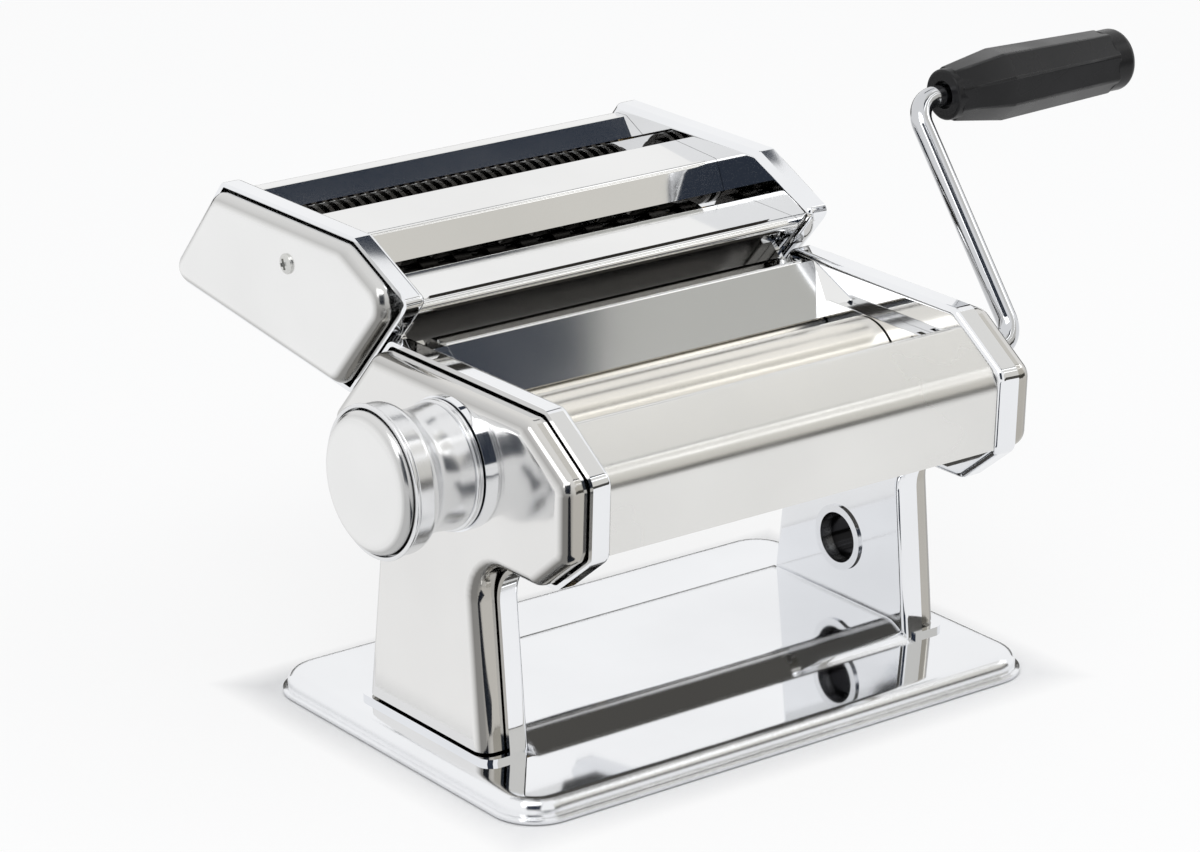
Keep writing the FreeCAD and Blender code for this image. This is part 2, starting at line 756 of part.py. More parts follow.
def hexagon_nut(name, x, y, z, width, height, bore):
    """A six-sided nut lying along X."""
    block = doc.addObject("Part::Prism", name + "_block")
    block.Polygon = 6
    drive(block, "Circumradius", as_size(width) / math.sqrt(3.0))
    drive(block, "Height", height)
    block.Placement = Placement(Vector(0, 0, 0), Rotation(Vector(0, 1, 0), 90))
    for axis, place in zip("xyz", (x, y, z)):
        drive(block, "Placement.Base." + axis, place)
    return bored(name, block, cylinder(name + "_bore", bore, as_size(height) + 2, as_size(x) - 1, y, z, "X"))


nut_height = 3.5
group("tie_rod_nuts", [
    hexagon_nut("tie_rod_nut", plate_outer if side > 0 else -plate_outer - nut_height, y, z,
                s.tie_rod_radius * 2 + 2, nut_height, thread_radius + s.running_fit)
    for word, side in SIDES for y, z in tie_rod_spots])

# Clamp bush: the lined hole through the right leg that takes the table clamp's hook
clamp = new_body("clamp_bush", -s.clamp_hole_setback, s.clamp_hole_level)
bush_outer = s.clamp_hole_radius + s.plate_wall
clamp_rim = 0.8
turn(clamp, [(plate_inner - clamp_rim, s.clamp_hole_radius), (cover_face + clamp_rim, s.clamp_hole_radius),
             (cover_face + clamp_rim, bush_outer), (plate_inner, bush_outer),
             (plate_inner, bush_outer + 1), (plate_inner - clamp_rim, bush_outer + 1)])

# Attachment rails: channels behind the head that hold the cutter's tongues
rail_lean = math.degrees(math.atan2(s.head_rear.value - s.top_rear.value, s.head_top.value - s.rear_top.value))
rail_middle = ((s.head_rear + s.top_rear) / 2, (s.head_top + s.rear_top) / 2)


def leaning_body(label):
    """A body whose Z axis runs up the sloped rear edge and whose Y axis points away from it."""
    body = new_body(label, rail_middle[0], rail_middle[1])
    pieces.remove(body)
    drive(body, "Placement.Rotation.Angle", rail_lean)
    body.Placement = Placement(body.Placement.Base, Rotation(Vector(1, 0, 0), rail_lean))
    return body


rail_floor = -5.4
rail_mouth = -0.7
rails = []
for word, side in SIDES:
    rail = leaning_body(word + "_rail")
    rails.append(rail)
    near, far = plate_inner - rail_wall, plate_inner
    profile = [(far, rail_floor), (near, rail_floor), (near, rail_mouth), (far - 2, rail_mouth),
               (far - 2, rail_mouth - 1.5), (near + 1.3, rail_mouth - 1.5), (near + 1.3, rail_floor + 1.2),
               (far, rail_floor + 1.2)]
    slab(rail, [(x * side, v) for x, v in profile], -s.rail_half, s.rail_half, "XY_Plane")
    slab(rail, [(x * side, v) for x, v in ((near, rail_floor), (far, rail_floor), (far, rail_mouth),
                                            (near, rail_mouth))],
         -s.rail_half - 1.5, -s.rail_half, "XY_Plane")
group("attachment_rails", rails)

# Rollers: ground steel with journals, the rear one in fixed bushes
spur_start = plate_outer + 2.1
spur_end = spur_start + s.gear_width
drive_start = spur_end + s.gear_gap
drive_end = drive_start + s.gear_width


def roller(label, y, right_end):
    """A roller with a journal at each end."""
    body = new_body(label, y, s.roll_level)
    left_end = plate_outer + 1.6
    turn(body, [(-left_end, 0), (right_end, 0), (right_end, s.journal_radius),
                (s.roller_half, s.journal_radius), (s.roller_half, s.roller_radius),
                (-s.roller_half, s.roller_radius), (-s.roller_half, s.journal_radius),
                (-left_end, s.journal_radius)])
    return body


roller("rear_roller", rear_y, spur_end)
roller("front_roller", front_y, drive_end)


def ring(name, x, y, z, outer, inner, length):
    """A plain bush lying along X."""
    return bored(name, cylinder(name + "_outer", outer, length, x, y, z, "X"),
                 cylinder(name + "_inner", inner, as_size(length) + 2, as_size(x) - 1, y, z, "X"))


bush_length = s.plate_wall + 2.2
group("rear_roller_bushes", [
    ring("rear_roller_bush", plate_outer - bush_length + 0.4 if side > 0 else -plate_outer - 0.4, rear_y,
         s.roll_level, rear_bush_radius, s.journal_radius + s.running_fit, bush_length)
    for word, side in SIDES])


def polar(radius, angle):
    """A point of the YZ plane at an angle from +Y towards +Z."""
    return Vector(0, radius * math.cos(angle), radius * math.sin(angle))


PRESSURE_ANGLE = math.radians(25.0)


def involute(angle):
    return math.tan(angle) - angle


def gear(label, teeth, module, addendum, x, y, z, width, bore, phase):
    """A spur gear with involute flanks; phase is the direction of one tooth."""
    pitch_radius = module * teeth / 2.0
    base_radius = pitch_radius * math.cos(PRESSURE_ANGLE)
    tip_radius = pitch_radius + addendum * module
    root_radius = pitch_radius - (addendum + 0.2) * module
    half_tooth = math.pi / (2.0 * teeth) - s.gear_backlash.value / (2.0 * pitch_radius)
    flank_start = max(base_radius, root_radius)

    def half_angle(radius):
        lean = math.acos(min(1.0, base_radius / radius))
        return half_tooth + involute(PRESSURE_ANGLE) - involute(lean)

    flank_radii = [flank_start + (tip_radius - flank_start) * i / 4.0 for i in range(5)]
    edges = []
    pitch_angle = 2.0 * math.pi / teeth
    for tooth in range(teeth):
        middle = phase + tooth * pitch_angle
        rising = [polar(r, middle - half_angle(r)) for r in flank_radii]
        falling = [polar(r, middle + half_angle(r)) for r in reversed(flank_radii)]
        foot = half_angle(flank_start)
        for points in (rising, falling):
            curve = Part.BSplineCurve()
            curve.interpolate(points)
            if points is rising:
                edges.append(Part.LineSegment(polar(root_radius, middle - foot), rising[0]).toShape())
                edges.append(curve.toShape())
                edges.append(Part.Arc(rising[-1], polar(tip_radius, middle), falling[0]).toShape())
            else:
                edges.append(curve.toShape())
                edges.append(Part.LineSegment(falling[-1], polar(root_radius, middle + foot)).toShape())
        edges.append(Part.Arc(polar(root_radius, middle + foot), polar(root_radius, middle + pitch_angle / 2.0),
                              polar(root_radius, middle + pitch_angle - foot)).toShape())
    outline = Part.Wire(edges)
    blank = Part.Face(outline).extrude(Vector(float(width), 0, 0))
    shaft = Part.makeCylinder(float(bore), float(width), Vector(0, 0, 0), Vector(1, 0, 0))
    feature = doc.addObject("Part::Feature", label)
    feature.Label = label
    feature.Shape = blank.cut(shaft)
    feature.Placement = Placement(Vector(float(x), float(y), float(z)), Rotation())
    pieces.append(feature)
    return feature


press = 0.01
spur_module = (s.roller_radius.value * 2.0 + s.nip_fine.value) / SPUR_TEETH
full_bore = s.journal_radius + press
gear("front_roller_gear", SPUR_TEETH, spur_module, 1.0, spur_start, front_y, s.roll_level, s.gear_width,
     full_bore, 0.0)
gear("rear_roller_gear", SPUR_TEETH, spur_module, 1.0, spur_start, rear_y, s.roll_level, s.gear_width,
     full_bore, math.pi + math.pi / SPUR_TEETH)
mesh_direction = math.pi - crank_turn
gear("front_drive_gear", DRIVE_TEETH, s.drive_module.value, 0.85, drive_start, front_y, s.roll_level,
     s.gear_width, full_bore, mesh_direction)
gear("crank_pinion", PINION_TEETH, s.drive_module.value, 0.85, drive_start, crank_y, crank_z, s.gear_width,
     s.shaft_radius + press, mesh_direction + math.pi + math.pi / PINION_TEETH)

# Carriage of the front roller: two sliding blocks, a cross bar and a scraper
block_inner = guide_inner + s.sheet_wall + 0.9
block_outer = plate_outer + 1.8
bar_level = s.roll_level - s.roller_radius - 4.6
bar_radius = 3.0
for word, side in SIDES:
    block = new_body(word + "_bearing_block")
    low, high = side_range(side, block_inner, block_outer)
    slab(block, [(front_y - block_front, s.roll_level - block_half),
                 (front_y + block_rear, s.roll_level - block_half),
                 (front_y + block_rear, s.roll_level + block_half),
                 (front_y - block_front, s.roll_level + block_half)], low, high)
    low, high = side_range(side, block_inner, plate_inner - s.seat_gap)
    slab(block, [(front_y - 6, bar_level - bar_radius - 1), (front_y + 6, bar_level - bar_radius - 1),
                 (front_y + 6, s.roll_level), (front_y - 6, s.roll_level)], low, high)
    if side < 0:
        low, high = side_range(side, plate_outer + s.seat_gap, block_outer)
        pin_y = knob_y - s.follower_reach
        slab(block, [(pin_y - 3.5, s.roll_level - block_half), (front_y, s.roll_level - block_half),
                     (front_y, s.roll_level + block_half), (pin_y - 3.5, s.roll_level + block_half)], low, high)
        cam_near = block_outer + 0.8
        low, high = side_range(side, block_outer - 1, cam_near + s.cam_wall - 0.5)
        disc(block, pin_y, knob_z, s.follower_radius, low, high)
    low, high = side_range(side, block_inner - 1, block_outer + 1)
    hole(block, front_y, s.roll_level, s.journal_radius + s.running_fit, low, high)

carriage = new_body("carriage_bar", front_y, bar_level)
turn(carriage, [(-block_inner, 0), (block_inner, 0), (block_inner, bar_radius), (-block_inner, bar_radius)])


def scraper(label, centre_y, foot_y, foot_z, foot_radius, lean):
    """A thin blade from a cross bar to just short of a roller."""
    touch = float(s.roller_radius) + 0.75
    foot_y, foot_z, centre_y = float(foot_y), float(foot_z), float(centre_y)
    level = float(s.roll_level)
    tip = (centre_y + touch * math.cos(lean), level + touch * math.sin(lean))
    away = math.hypot(tip[0] - foot_y, tip[1] - foot_z)
    root = towards((foot_y, foot_z), tip, float(foot_radius) + 0.02)
    along = ((tip[0] - foot_y) / away, (tip[1] - foot_z) / away)
    across = (-along[1] * 0.4, along[0] * 0.4)
    body = new_body(label)
    slab(body, [(root[0] - across[0], root[1] - across[1]), (tip[0] - across[0], tip[1] - across[1]),
                (tip[0] + across[0], tip[1] + across[1]), (root[0] + across[0], root[1] + across[1])],
         -s.roller_half + 1, s.roller_half - 1)


scraper("front_scraper", front_y, front_y, bar_level, bar_radius, math.radians(-68.0))
scraper("rear_scraper", rear_y, scraper_rod[0], scraper_rod[1], s.tie_rod_radius, math.radians(-112.0))

# Crank: bushes, a hollow shaft, a bent rod and a grip that spins on it
bush_flange = 1.2
collar_start = cover_face + bush_flange + s.seat_gap
group("crank_bushes", [
    ring("crank_plate_bush", plate_inner - 1.0, crank_y, crank_z, plate_bush_radius,
         s.shaft_radius + s.running_fit, s.plate_wall + 2.0),
    bored("crank_cover_bush",
          joined("crank_cover_bush_body", [
              cylinder("crank_cover_bush_sleeve", knob_bush_radius, 3.0, cover_face - 3.0, crank_y, crank_z, "X"),
              cylinder("crank_cover_bush_flange", knob_bush_radius + 2.5, bush_flange, cover_face, crank_y,
                       crank_z, "X")]),
          cylinder("crank_cover_bush_bore", s.shaft_radius + s.running_fit, 8.0, cover_face - 5.0, crank_y,
                   crank_z, "X"))])

crank_shaft = new_body("crank_shaft", crank_y, crank_z)
socket_start = drive_end + s.seat_gap
shaft_end = cover_face + 5.3
turn(crank_shaft, [(plate_inner - 1, 0), (socket_start, 0), (socket_start, s.rod_radius + press),
                   (shaft_end, s.rod_radius + press), (shaft_end, s.shaft_radius + 3),
                   (collar_start, s.shaft_radius + 3), (collar_start, s.shaft_radius),
                   (plate_inner - 1, s.shaft_radius)])


def crank_body(label):
    """A body whose Z axis runs up the crank's arm."""
    body = new_body(label, crank_y, crank_z)
    body.Placement = Placement(body.Placement.Base, Rotation(Vector(1, 0, 0), s.arm_lean.value - 90.0))
    return body


arm_x = plate_inner + s.arm_offset
grip_x = plate_inner + s.grip_start
grip_end = grip_x + s.grip_length
rod_start, rod_tip = socket_start, grip_end - 6
rod = crank_body("crank_rod")
path = sketch_on(rod, "XZ_Plane")
a_x, r_b, a_l = arm_x.value, s.rod_bend.value, s.arm_length.value
up = Vector(0, 0, 1)
path.addGeometry([
    Part.LineSegment(Vector(rod_start.value, 0, 0), Vector(a_x - r_b, 0, 0)),
    Part.ArcOfCircle(Part.Circle(Vector(a_x - r_b, r_b, 0), up, r_b), -math.pi / 2, 0),
    Part.LineSegment(Vector(a_x, r_b, 0), Vector(a_x, a_l - r_b, 0)),
    Part.ArcOfCircle(Part.Circle(Vector(a_x + r_b, a_l - r_b, 0), up, r_b), math.pi / 2, math.pi),
    Part.LineSegment(Vector(a_x + r_b, a_l, 0), Vector(rod_tip.value, a_l, 0)),
], False)
section = sketch_on(rod, "YZ_Plane", rod_start)
draw_circle(section, 0.0, 0.0, s.rod_radius)
sweep = rod.newObject("PartDesign::AdditivePipe", "crank_rod_sweep")
sweep.Profile = section
sweep.Spine = (path, [])
doc.recompute()


def on_arm(label):
    """A body on the grip's axis at the top of the arm, with X along the grip."""
    lean = math.radians(s.arm_lean.value)
    return new_body(label, crank_y + s.arm_length * math.cos(lean), crank_z + s.arm_length * math.sin(lean))


grip = on_arm("crank_grip")
grip_bore = s.rod_radius + 0.25
ridge_x = grip_x + s.grip_ridge
turn(grip, [(grip_x, grip_bore), (grip_end - 5, grip_bore), (grip_end - 5, grip_bore + 3),
            (grip_end, grip_bore + 3), (grip_end, s.grip_end_radius), (ridge_x, s.grip_ridge_radius),
            (grip_x + 2, s.grip_neck_radius + 0.8), (grip_x, s.grip_neck_radius)])
cap = on_arm("grip_cap")
cap_end = grip_end + s.grip_cap_length
turn(cap, [(grip_end - 3, 0), (cap_end, 0), (cap_end, s.grip_end_radius - 3),
           (cap_end - 1, s.grip_end_radius - 1), (grip_end, s.grip_end_radius),
           (grip_end, grip_bore + 3 - press), (grip_end - 3, grip_bore + 3 - press)])

# Thickness knob: index plate, shaft with its cam, knob, face, spring and index pin
face_x = -cover_face
index = new_body("index_plate", knob_y, knob_z)
groove_middle, groove_half, groove_floor = 12.5, 2.0, 0.7
hub_end = face_x + 6.0
shaft_bore = s.shaft_radius + s.running_fit
turn(index, [(face_x - s.index_wall, shaft_bore), (hub_end, shaft_bore), (hub_end, knob_bush_radius),
             (face_x, knob_bush_radius), (face_x, s.index_radius), (face_x - s.index_wall, s.index_radius),
             (face_x - s.index_wall, groove_middle + groove_half),
             (face_x - groove_floor, groove_middle + groove_half),
             (face_x - groove_floor, groove_middle - groove_half),
             (face_x - s.index_wall, groove_middle - groove_half)])
pin_radius = 1.5
for step in range(int(s.index_steps.value) + 1):
    turned = math.radians(90.0 + step * s.index_step_angle.value)
    hole(index, groove_middle * math.cos(turned), groove_middle * math.sin(turned), pin_radius + 0.15,
         face_x - groove_floor - 0.2, face_x + 0.2)

knob_base = face_x - s.index_wall - s.knob_gap
washer_face = knob_base - 18.0
knob_shaft = new_body("knob_shaft", knob_y, knob_z)
cam_low = -(cam_near + s.cam_wall)
turn(knob_shaft, [(-cam_near, 0), (washer_face - 2, 0), (washer_face - 2, s.shaft_radius + 2.6),
                  (washer_face, s.shaft_radius + 2.6), (washer_face, s.shaft_radius),
                  (-cam_near, s.shaft_radius)])

# The cam's spiral slot draws the follower in by the same amount for every degree
index_turn = math.radians(s.index_steps.value * s.index_step_angle.value)
slot_half = s.follower_radius.value + 0.15


def spiral(offset, steps=18):
    """Points of the slot's centre line moved sideways, from the widest setting to the finest."""
    points = []
    for i in range(steps + 1):
        turned = index_turn * i / steps
        radius = s.follower_reach.value - travel.value * i / steps + offset
        points.append(polar(radius, math.pi - turned))
    return points


def slot_end(turned, reach):
    """The middle of the slot's round end."""
    radius = s.follower_reach.value - travel.value * turned / index_turn
    return polar(radius, math.pi - turned) + polar(slot_half, math.pi - turned + reach)


inner_curve, outer_curve = Part.BSplineCurve(), Part.BSplineCurve()
inner_points, outer_points = spiral(-slot_half), spiral(slot_half)
inner_curve.interpolate(inner_points)
outer_curve.interpolate(outer_points)
slot_wire = Part.Wire([
    outer_curve.toShape(),
    Part.Arc(outer_points[-1], slot_end(index_turn, -math.pi / 2), inner_points[-1]).toShape(),
    inner_curve.toShape(),
    Part.Arc(inner_points[0], slot_end(0.0, math.pi / 2), outer_points[0]).toShape()])
cam_blank = Part.makeCylinder(s.cam_radius.value, s.cam_wall.value, Vector(0, 0, 0), Vector(1, 0, 0))
cam_hole = Part.makeCylinder(s.shaft_radius.value + press, s.cam_wall.value, Vector(0, 0, 0), Vector(1, 0, 0))
cam_slot = Part.Face(slot_wire).extrude(Vector(s.cam_wall.value, 0, 0))
cam = doc.addObject("Part::Feature", "adjusting_cam")
cam.Label = "adjusting_cam"
cam.Shape = cam_blank.cut(cam_hole).cut(cam_slot)
cam.Placement = Placement(Vector(cam_low.value, knob_y.value, knob_z.value), Rotation())
pieces.append(cam)

knob = new_body("knob", knob_y, knob_z)
knob_end = knob_base - s.knob_length
cavity = s.shaft_radius + 3.6
shoulder = knob_base - 4.5
face_seat = s.knob_rim_radius - 1.3
drum = s.knob_rim_radius - 0.6
turn(knob, [(knob_base, shaft_bore), (shoulder, shaft_bore), (shoulder, cavity), (knob_end + 2.5, cavity),
            (knob_end + 2.5, face_seat), (knob_end, face_seat), (knob_end, s.knob_rim_radius),
            (knob_end + 1.2, s.knob_rim_radius), (knob_end + 1.2, drum), (knob_end + 7.5, drum),
            (knob_end + 10.5, s.knob_waist_radius + 1.2), (knob_end + 13.5, s.knob_waist_radius),
            (knob_base - 6.5, s.knob_waist_radius + 0.6), (knob_base - 2.2, s.knob_base_radius - 0.6),
            (knob_base - 2.2, s.knob_base_radius), (knob_base, s.knob_base_radius)])
hole(knob, 0.0, groove_middle, pin_radius + press, knob_base - 6, knob_base + 1)
knob_face = new_body("knob_face", knob_y, knob_z)
turn(knob_face, [(knob_end + 2.5, 0), (knob_end + 2.5, face_seat - press), (knob_end - 0.4, face_seat - press),
                 (knob_end - 2.2, face_seat - 1), (knob_end - 3.2, face_seat - 3), (knob_end - 3.6, face_seat - 6),
                 (knob_end - 3.8, 0)])
index_pin = new_body("index_pin", knob_y, knob_z + groove_middle)
turn(index_pin, [(knob_base - 6, 0), (face_x - groove_floor - 0.3, 0), (face_x - groove_floor - 0.3, pin_radius),
                 (knob_base - 6, pin_radius)])


def biarc(start, start_way, end, end_way):
    """Two arcs that join two points smoothly in the given directions."""
    chord = end - start
    ways = start_way + end_way
    spread = 2.0 * (1.0 - start_way.dot(end_way))
    along = chord.dot(ways)
    reach = (math.sqrt(along * along + spread * chord.dot(chord)) - along) / spread
    first, last = start + start_way * reach, end - end_way * reach
    joint = (first + last) * 0.5
    arcs = []
    for a, apex, b in ((start, first, joint), (joint, last, end)):
        middle = (a + b) * 0.5
        half = (b - a).Length / 2.0
        lean = math.acos(min(1.0, half / (apex - a).Length))
        rise = apex - middle
        rise.normalize()
        arcs.append(Part.Arc(a, middle + rise * (half * math.tan(lean / 2.0)), b).toShape())
    return arcs


# Spring: an open coil on the shaft, drawn at its pressed length against the shaft's head
wire, turns_count = s.spring_wire.value, s.spring_turns.value
spring_room = abs(washer_face.value - shoulder.value) - s.knob_pull.value - 2.0 * s.seat_gap.value
pitch = (spring_room - wire) / turns_count
quarters = int(round(turns_count * 4))


def coil_point(quarter):
    angle = quarter * math.pi / 2.0
    return Vector(pitch * quarter / 4.0, 0, 0) + polar(s.spring_radius.value, angle)


def coil_way(quarter):
    angle = quarter * math.pi / 2.0
    way = Vector(pitch / (2.0 * math.pi), 0, 0) + polar(s.spring_radius.value, angle + math.pi / 2.0)
    return way.normalize()


coil = []
for quarter in range(quarters):
    coil += biarc(coil_point(quarter), coil_way(quarter), coil_point(quarter + 1), coil_way(quarter + 1))
print("spring gap between turns %.2f mm" % (pitch - wire))
coil_section = Part.Wire([Part.Circle(coil_point(0), coil_way(0), wire / 2.0).toShape()])
spring = doc.addObject("Part::Feature", "knob_spring")
spring.Label = "knob_spring"
spring.Shape = Part.Wire(coil).makePipeShell([coil_section], True, False)
spring.Placement = Placement(Vector(washer_face.value + wire / 2.0 + s.seat_gap.value, knob_y.value,
                                    knob_z.value), Rotation())
pieces.append(spring)

# Cutter: its side plates hang on the rails and carry two pairs of cutting rollers
rear_normal = (math.cos(math.radians(rail_lean)), math.sin(math.radians(rail_lean)))
edge_offset = (rear_normal[0] * s.top_rear.value + rear_normal[1] * s.head_top.value + s.cutter_gap.value)
nose_low_z = (edge_offset - rear_normal[0] * s.cutter_nose_low.value) / rear_normal[1]
toe_y = (edge_offset - rear_normal[1] * s.cutter_bottom_front.value) / rear_normal[0]
cutter_outline = [
    (toe_y, s.cutter_bottom_front),
    (s.cutter_heel, s.cutter_bottom_rear),
    (s.cutter_rear, s.cutter_rear_level),
    (s.cutter_top_rear, s.cutter_top),
    (s.cutter_top_front, s.cutter_top),
    (s.cutter_nose, s.cutter_nose_top),
    (s.cutter_nose_low, nose_low_z),
]
cutter_face = plate_inner + s.cutter_cover_reach
half_space = s.cutter_spacing / 2
cutter_axes = {
    "fine_cutter_front": (s.fine_setback - half_space, s.fine_level),
    "fine_cutter_rear": (s.fine_setback + half_space, s.fine_level),
    "wide_cutter_front": (s.wide_setback - half_space, s.wide_level),
    "wide_cutter_rear": (s.wide_setback + half_space, s.wide_level),
}
cutter_bush = s.cutter_journal + 2
pillar_radius = 3.0
for word, side in SIDES:
    plate = new_body("cutter_%s_plate" % word)
    tray(plate, cutter_outline, (), side, plate_inner, flange_rim, s.plate_wall, s.corner_round / 2,
         0.0, s.bend_round)
    low, high = side_range(side, plate_inner + s.plate_wall / 2, cutter_face - s.cover_wall - s.seat_gap)
    disc(plate, s.cutter_screw_setback, s.cutter_screw_level, pillar_radius, low, high)
    low, high = side_range(side, plate_outer + 1, cutter_face)
    hole(plate, s.cutter_screw_setback, s.cutter_screw_level, s.screw_radius + s.running_fit, low, high)
    low, high = side_range(side, plate_inner - 1, plate_outer + 1)
    for y, z in cutter_axes.values():
        hole(plate, y, z, cutter_bush, low, high)

# The covers' noses are single corners, because the plates' short nose edge is lost in the inset
cutter_cover_line = inset(cutter_outline, s.plate_wall + s.cover_gap)
cutter_cover_outline = cutter_cover_line[:5] + [crossing(cutter_cover_line[4], cutter_cover_line[5],
                                                         cutter_cover_line[6], cutter_cover_line[0])]
for word, side in SIDES:
    cover = new_body("cutter_%s_cover" % word)
    tray(cover, cutter_cover_outline, (), side, cutter_face, cover_start, s.cover_wall,
         s.corner_round / 2 + 1, 0.0, s.cover_edge_round - 2)
    low, high = side_range(side, cutter_face - s.cover_wall - 1, cutter_face + 1)
    hole(cover, s.cutter_screw_setback, s.cutter_screw_level, s.screw_radius + s.running_fit, low, high)
    if side > 0:
        for name in ("fine_cutter_front", "wide_cutter_front"):
            hole(cover, cutter_axes[name][0], cutter_axes[name][1], s.shaft_radius + 1, low, high)

cutter_screw_length = s.cutter_cover_reach - s.plate_wall - 3
cutter_head = s.screw_radius * 2.2
group("cutter_cover_screws", [
    joined("cutter_cover_screw", [
        cylinder("cutter_cover_screw_head", cutter_head, 1.4,
                 cutter_face if side > 0 else -cutter_face - 1.4,
                 s.cutter_screw_setback, s.cutter_screw_level, "X"),
        cylinder("cutter_cover_screw_shank", s.screw_radius, cutter_screw_length,
                 cutter_face - cutter_screw_length if side > 0 else -cutter_face,
                 s.cutter_screw_setback, s.cutter_screw_level, "X")])
    for word, side in SIDES])

cutter_panel_half = plate_inner - s.seat_gap / 2
cutter_line = inset(cutter_outline, s.plate_wall + 1.3)
back_crest = (float(s.fine_setback) + 16.5, float(s.cutter_top) - 4.0)
folded_sheet("cutter_back_panel",
             [towards(cutter_line[2], cutter_line[3], 2.0), towards(cutter_line[3], cutter_line[2], 2.0),
              back_crest, (float(s.fine_setback) + 7.5, float(s.cutter_top) - 8.6)],
             cutter_panel_half)
wide_y, wide_top = float(s.wide_slot_setback), float(s.wide_slot_level)
fine_y, fine_top = float(s.fine_setback), float(s.fine_level) + 13.2
folded_sheet("cutter_middle_panel",
             [(fine_y - 9.5, fine_top - 3.0), (fine_y - 10.5, fine_top), (wide_y + 9.0, fine_top - 1.4),
              (wide_y + 5.3, wide_top)],
             cutter_panel_half)
front_line = inset(cutter_outline, s.plate_wall + 1.0)
folded_sheet("cutter_front_panel",
             [(wide_y - 7.3, wide_top - 2.1), (wide_y - 7.3, wide_top - 0.2),
              (front_line[6][0] + 5.0, wide_top - 0.8),
              (front_line[6][0] + 0.9, front_line[6][1] - 1.3), towards(front_line[0], front_line[6], 6.0)],
             cutter_panel_half)


def cutting_roller(label, step, first, right_end):
    """A roller of cutting discs; its discs run in the grooves of its partner."""
    y, z = cutter_axes[label]
    journal, groove, rim = s.cutter_journal.value, s.cutter_groove_radius.value, s.cutter_radius.value
    half, slit = s.cutter_half.value, s.cutter_slit.value
    profile = [(-half, groove)]
    start = -half + first
    while start + step.value / 2.0 < half:
        left, right = start + slit, start + step.value / 2.0 - slit
        profile += [(left, groove), (left, rim), (right, rim), (right, groove)]
        start += step.value
    left_end = plate_outer.value + 1.0
    profile += [(half, groove), (half, journal), (right_end.value, journal), (right_end.value, 0),
                (-left_end, 0), (-left_end, journal), (-half, journal), (-half, groove)]
    outline = Part.makePolygon([Vector(x, radius, 0) for x, radius in profile])
    feature = doc.addObject("Part::Feature", label)
    feature.Label = label
    feature.Shape = Part.Face(outline).revolve(Vector(0, 0, 0), Vector(1, 0, 0), 360)
    feature.Placement = Placement(Vector(0, y.value, z.value), Rotation())
    pieces.append(feature)


cutter_gear_start = plate_outer + 1.4
cutter_gear_end = cutter_gear_start + s.gear_width
CUTTER_TEETH = 12
cutter_module = s.cutter_spacing.value / CUTTER_TEETH
for kind, step in (("fine", s.fine_pitch), ("wide", s.wide_pitch)):
    for place, first, phase in (("front", step.value * 0.25, 0.0),
                                ("rear", step.value * 0.75, math.pi + math.pi / CUTTER_TEETH)):
        label = "%s_cutter_%s" % (kind, place)
        cutting_roller(label, step, first, cutter_gear_end)
        gear("%s_gear_%s" % (kind, place), CUTTER_TEETH, cutter_module, 1.0, cutter_gear_start,
             cutter_axes[label][0], cutter_axes[label][1], s.gear_width, s.cutter_journal + press, phase)

cutter_bush_length = s.plate_wall + 2.0
group("cutter_bushes", [
    ring("cutter_bush", plate_outer - cutter_bush_length if side > 0 else -plate_outer, y, z, cutter_bush,
         s.cutter_journal + s.running_fit, cutter_bush_length)
    for word, side in SIDES for y, z in cutter_axes.values()])

tongues = []
for word, side in SIDES:
    near, far = plate_inner - rail_wall, plate_inner
    tongue = leaning_body("cutter_%s_tongue" % word)
    tongues.append(tongue)
    profile = [(near + 1.5, rail_floor + 1.4), (far - 0.3, rail_floor + 1.4), (far - 0.3, s.cutter_gap + 0.2),
               (far, s.cutter_gap + 0.2), (far, s.cutter_gap + 1.2), (far - 1.8, s.cutter_gap + 1.2),
               (far - 1.8, rail_mouth - 1.7), (near + 1.5, rail_mouth - 1.7)]
    slab(tongue, [(x * side, v) for x, v in profile], -s.rail_half + s.seat_gap * 1.5, s.rail_half - 1, "XY_Plane")
group("cutter_tongues", tongues)

# Every object must be sound before anything is written
doc.recompute()
for item in doc.Objects:
    if "Invalid" in item.State or "Error" in item.State:
        raise RuntimeError("%s failed" % item.Name)
whole = FreeCAD.BoundBox()
for piece in pieces:
    if piece.Shape.isNull() or not piece.Shape.isValid():
        raise RuntimeError("%s has no sound shape" % piece.Label)
    whole.add(piece.Shape.BoundBox)

# The machine is drawn about the middle of its base and written about the middle of its own box
to_own_middle = Vector(-whole.Center.x, -whole.Center.y, 0)
print("written %.3f, %.3f from where it is drawn" % (to_own_middle.x, to_own_middle.y))
os.makedirs("parts", exist_ok=True)
for piece in pieces:
    written = piece.Shape.copy()
    written.translate(to_own_middle)
    written.exportStep("parts/%s.step" % piece.Label)
print("%d sub-parts written" % len(pieces))
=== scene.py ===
"""A chromed pasta roller machine with its noodle cutter in place, in a white studio."""
import json
import math

import bmesh
import bpy
from mathutils import Matrix, Vector

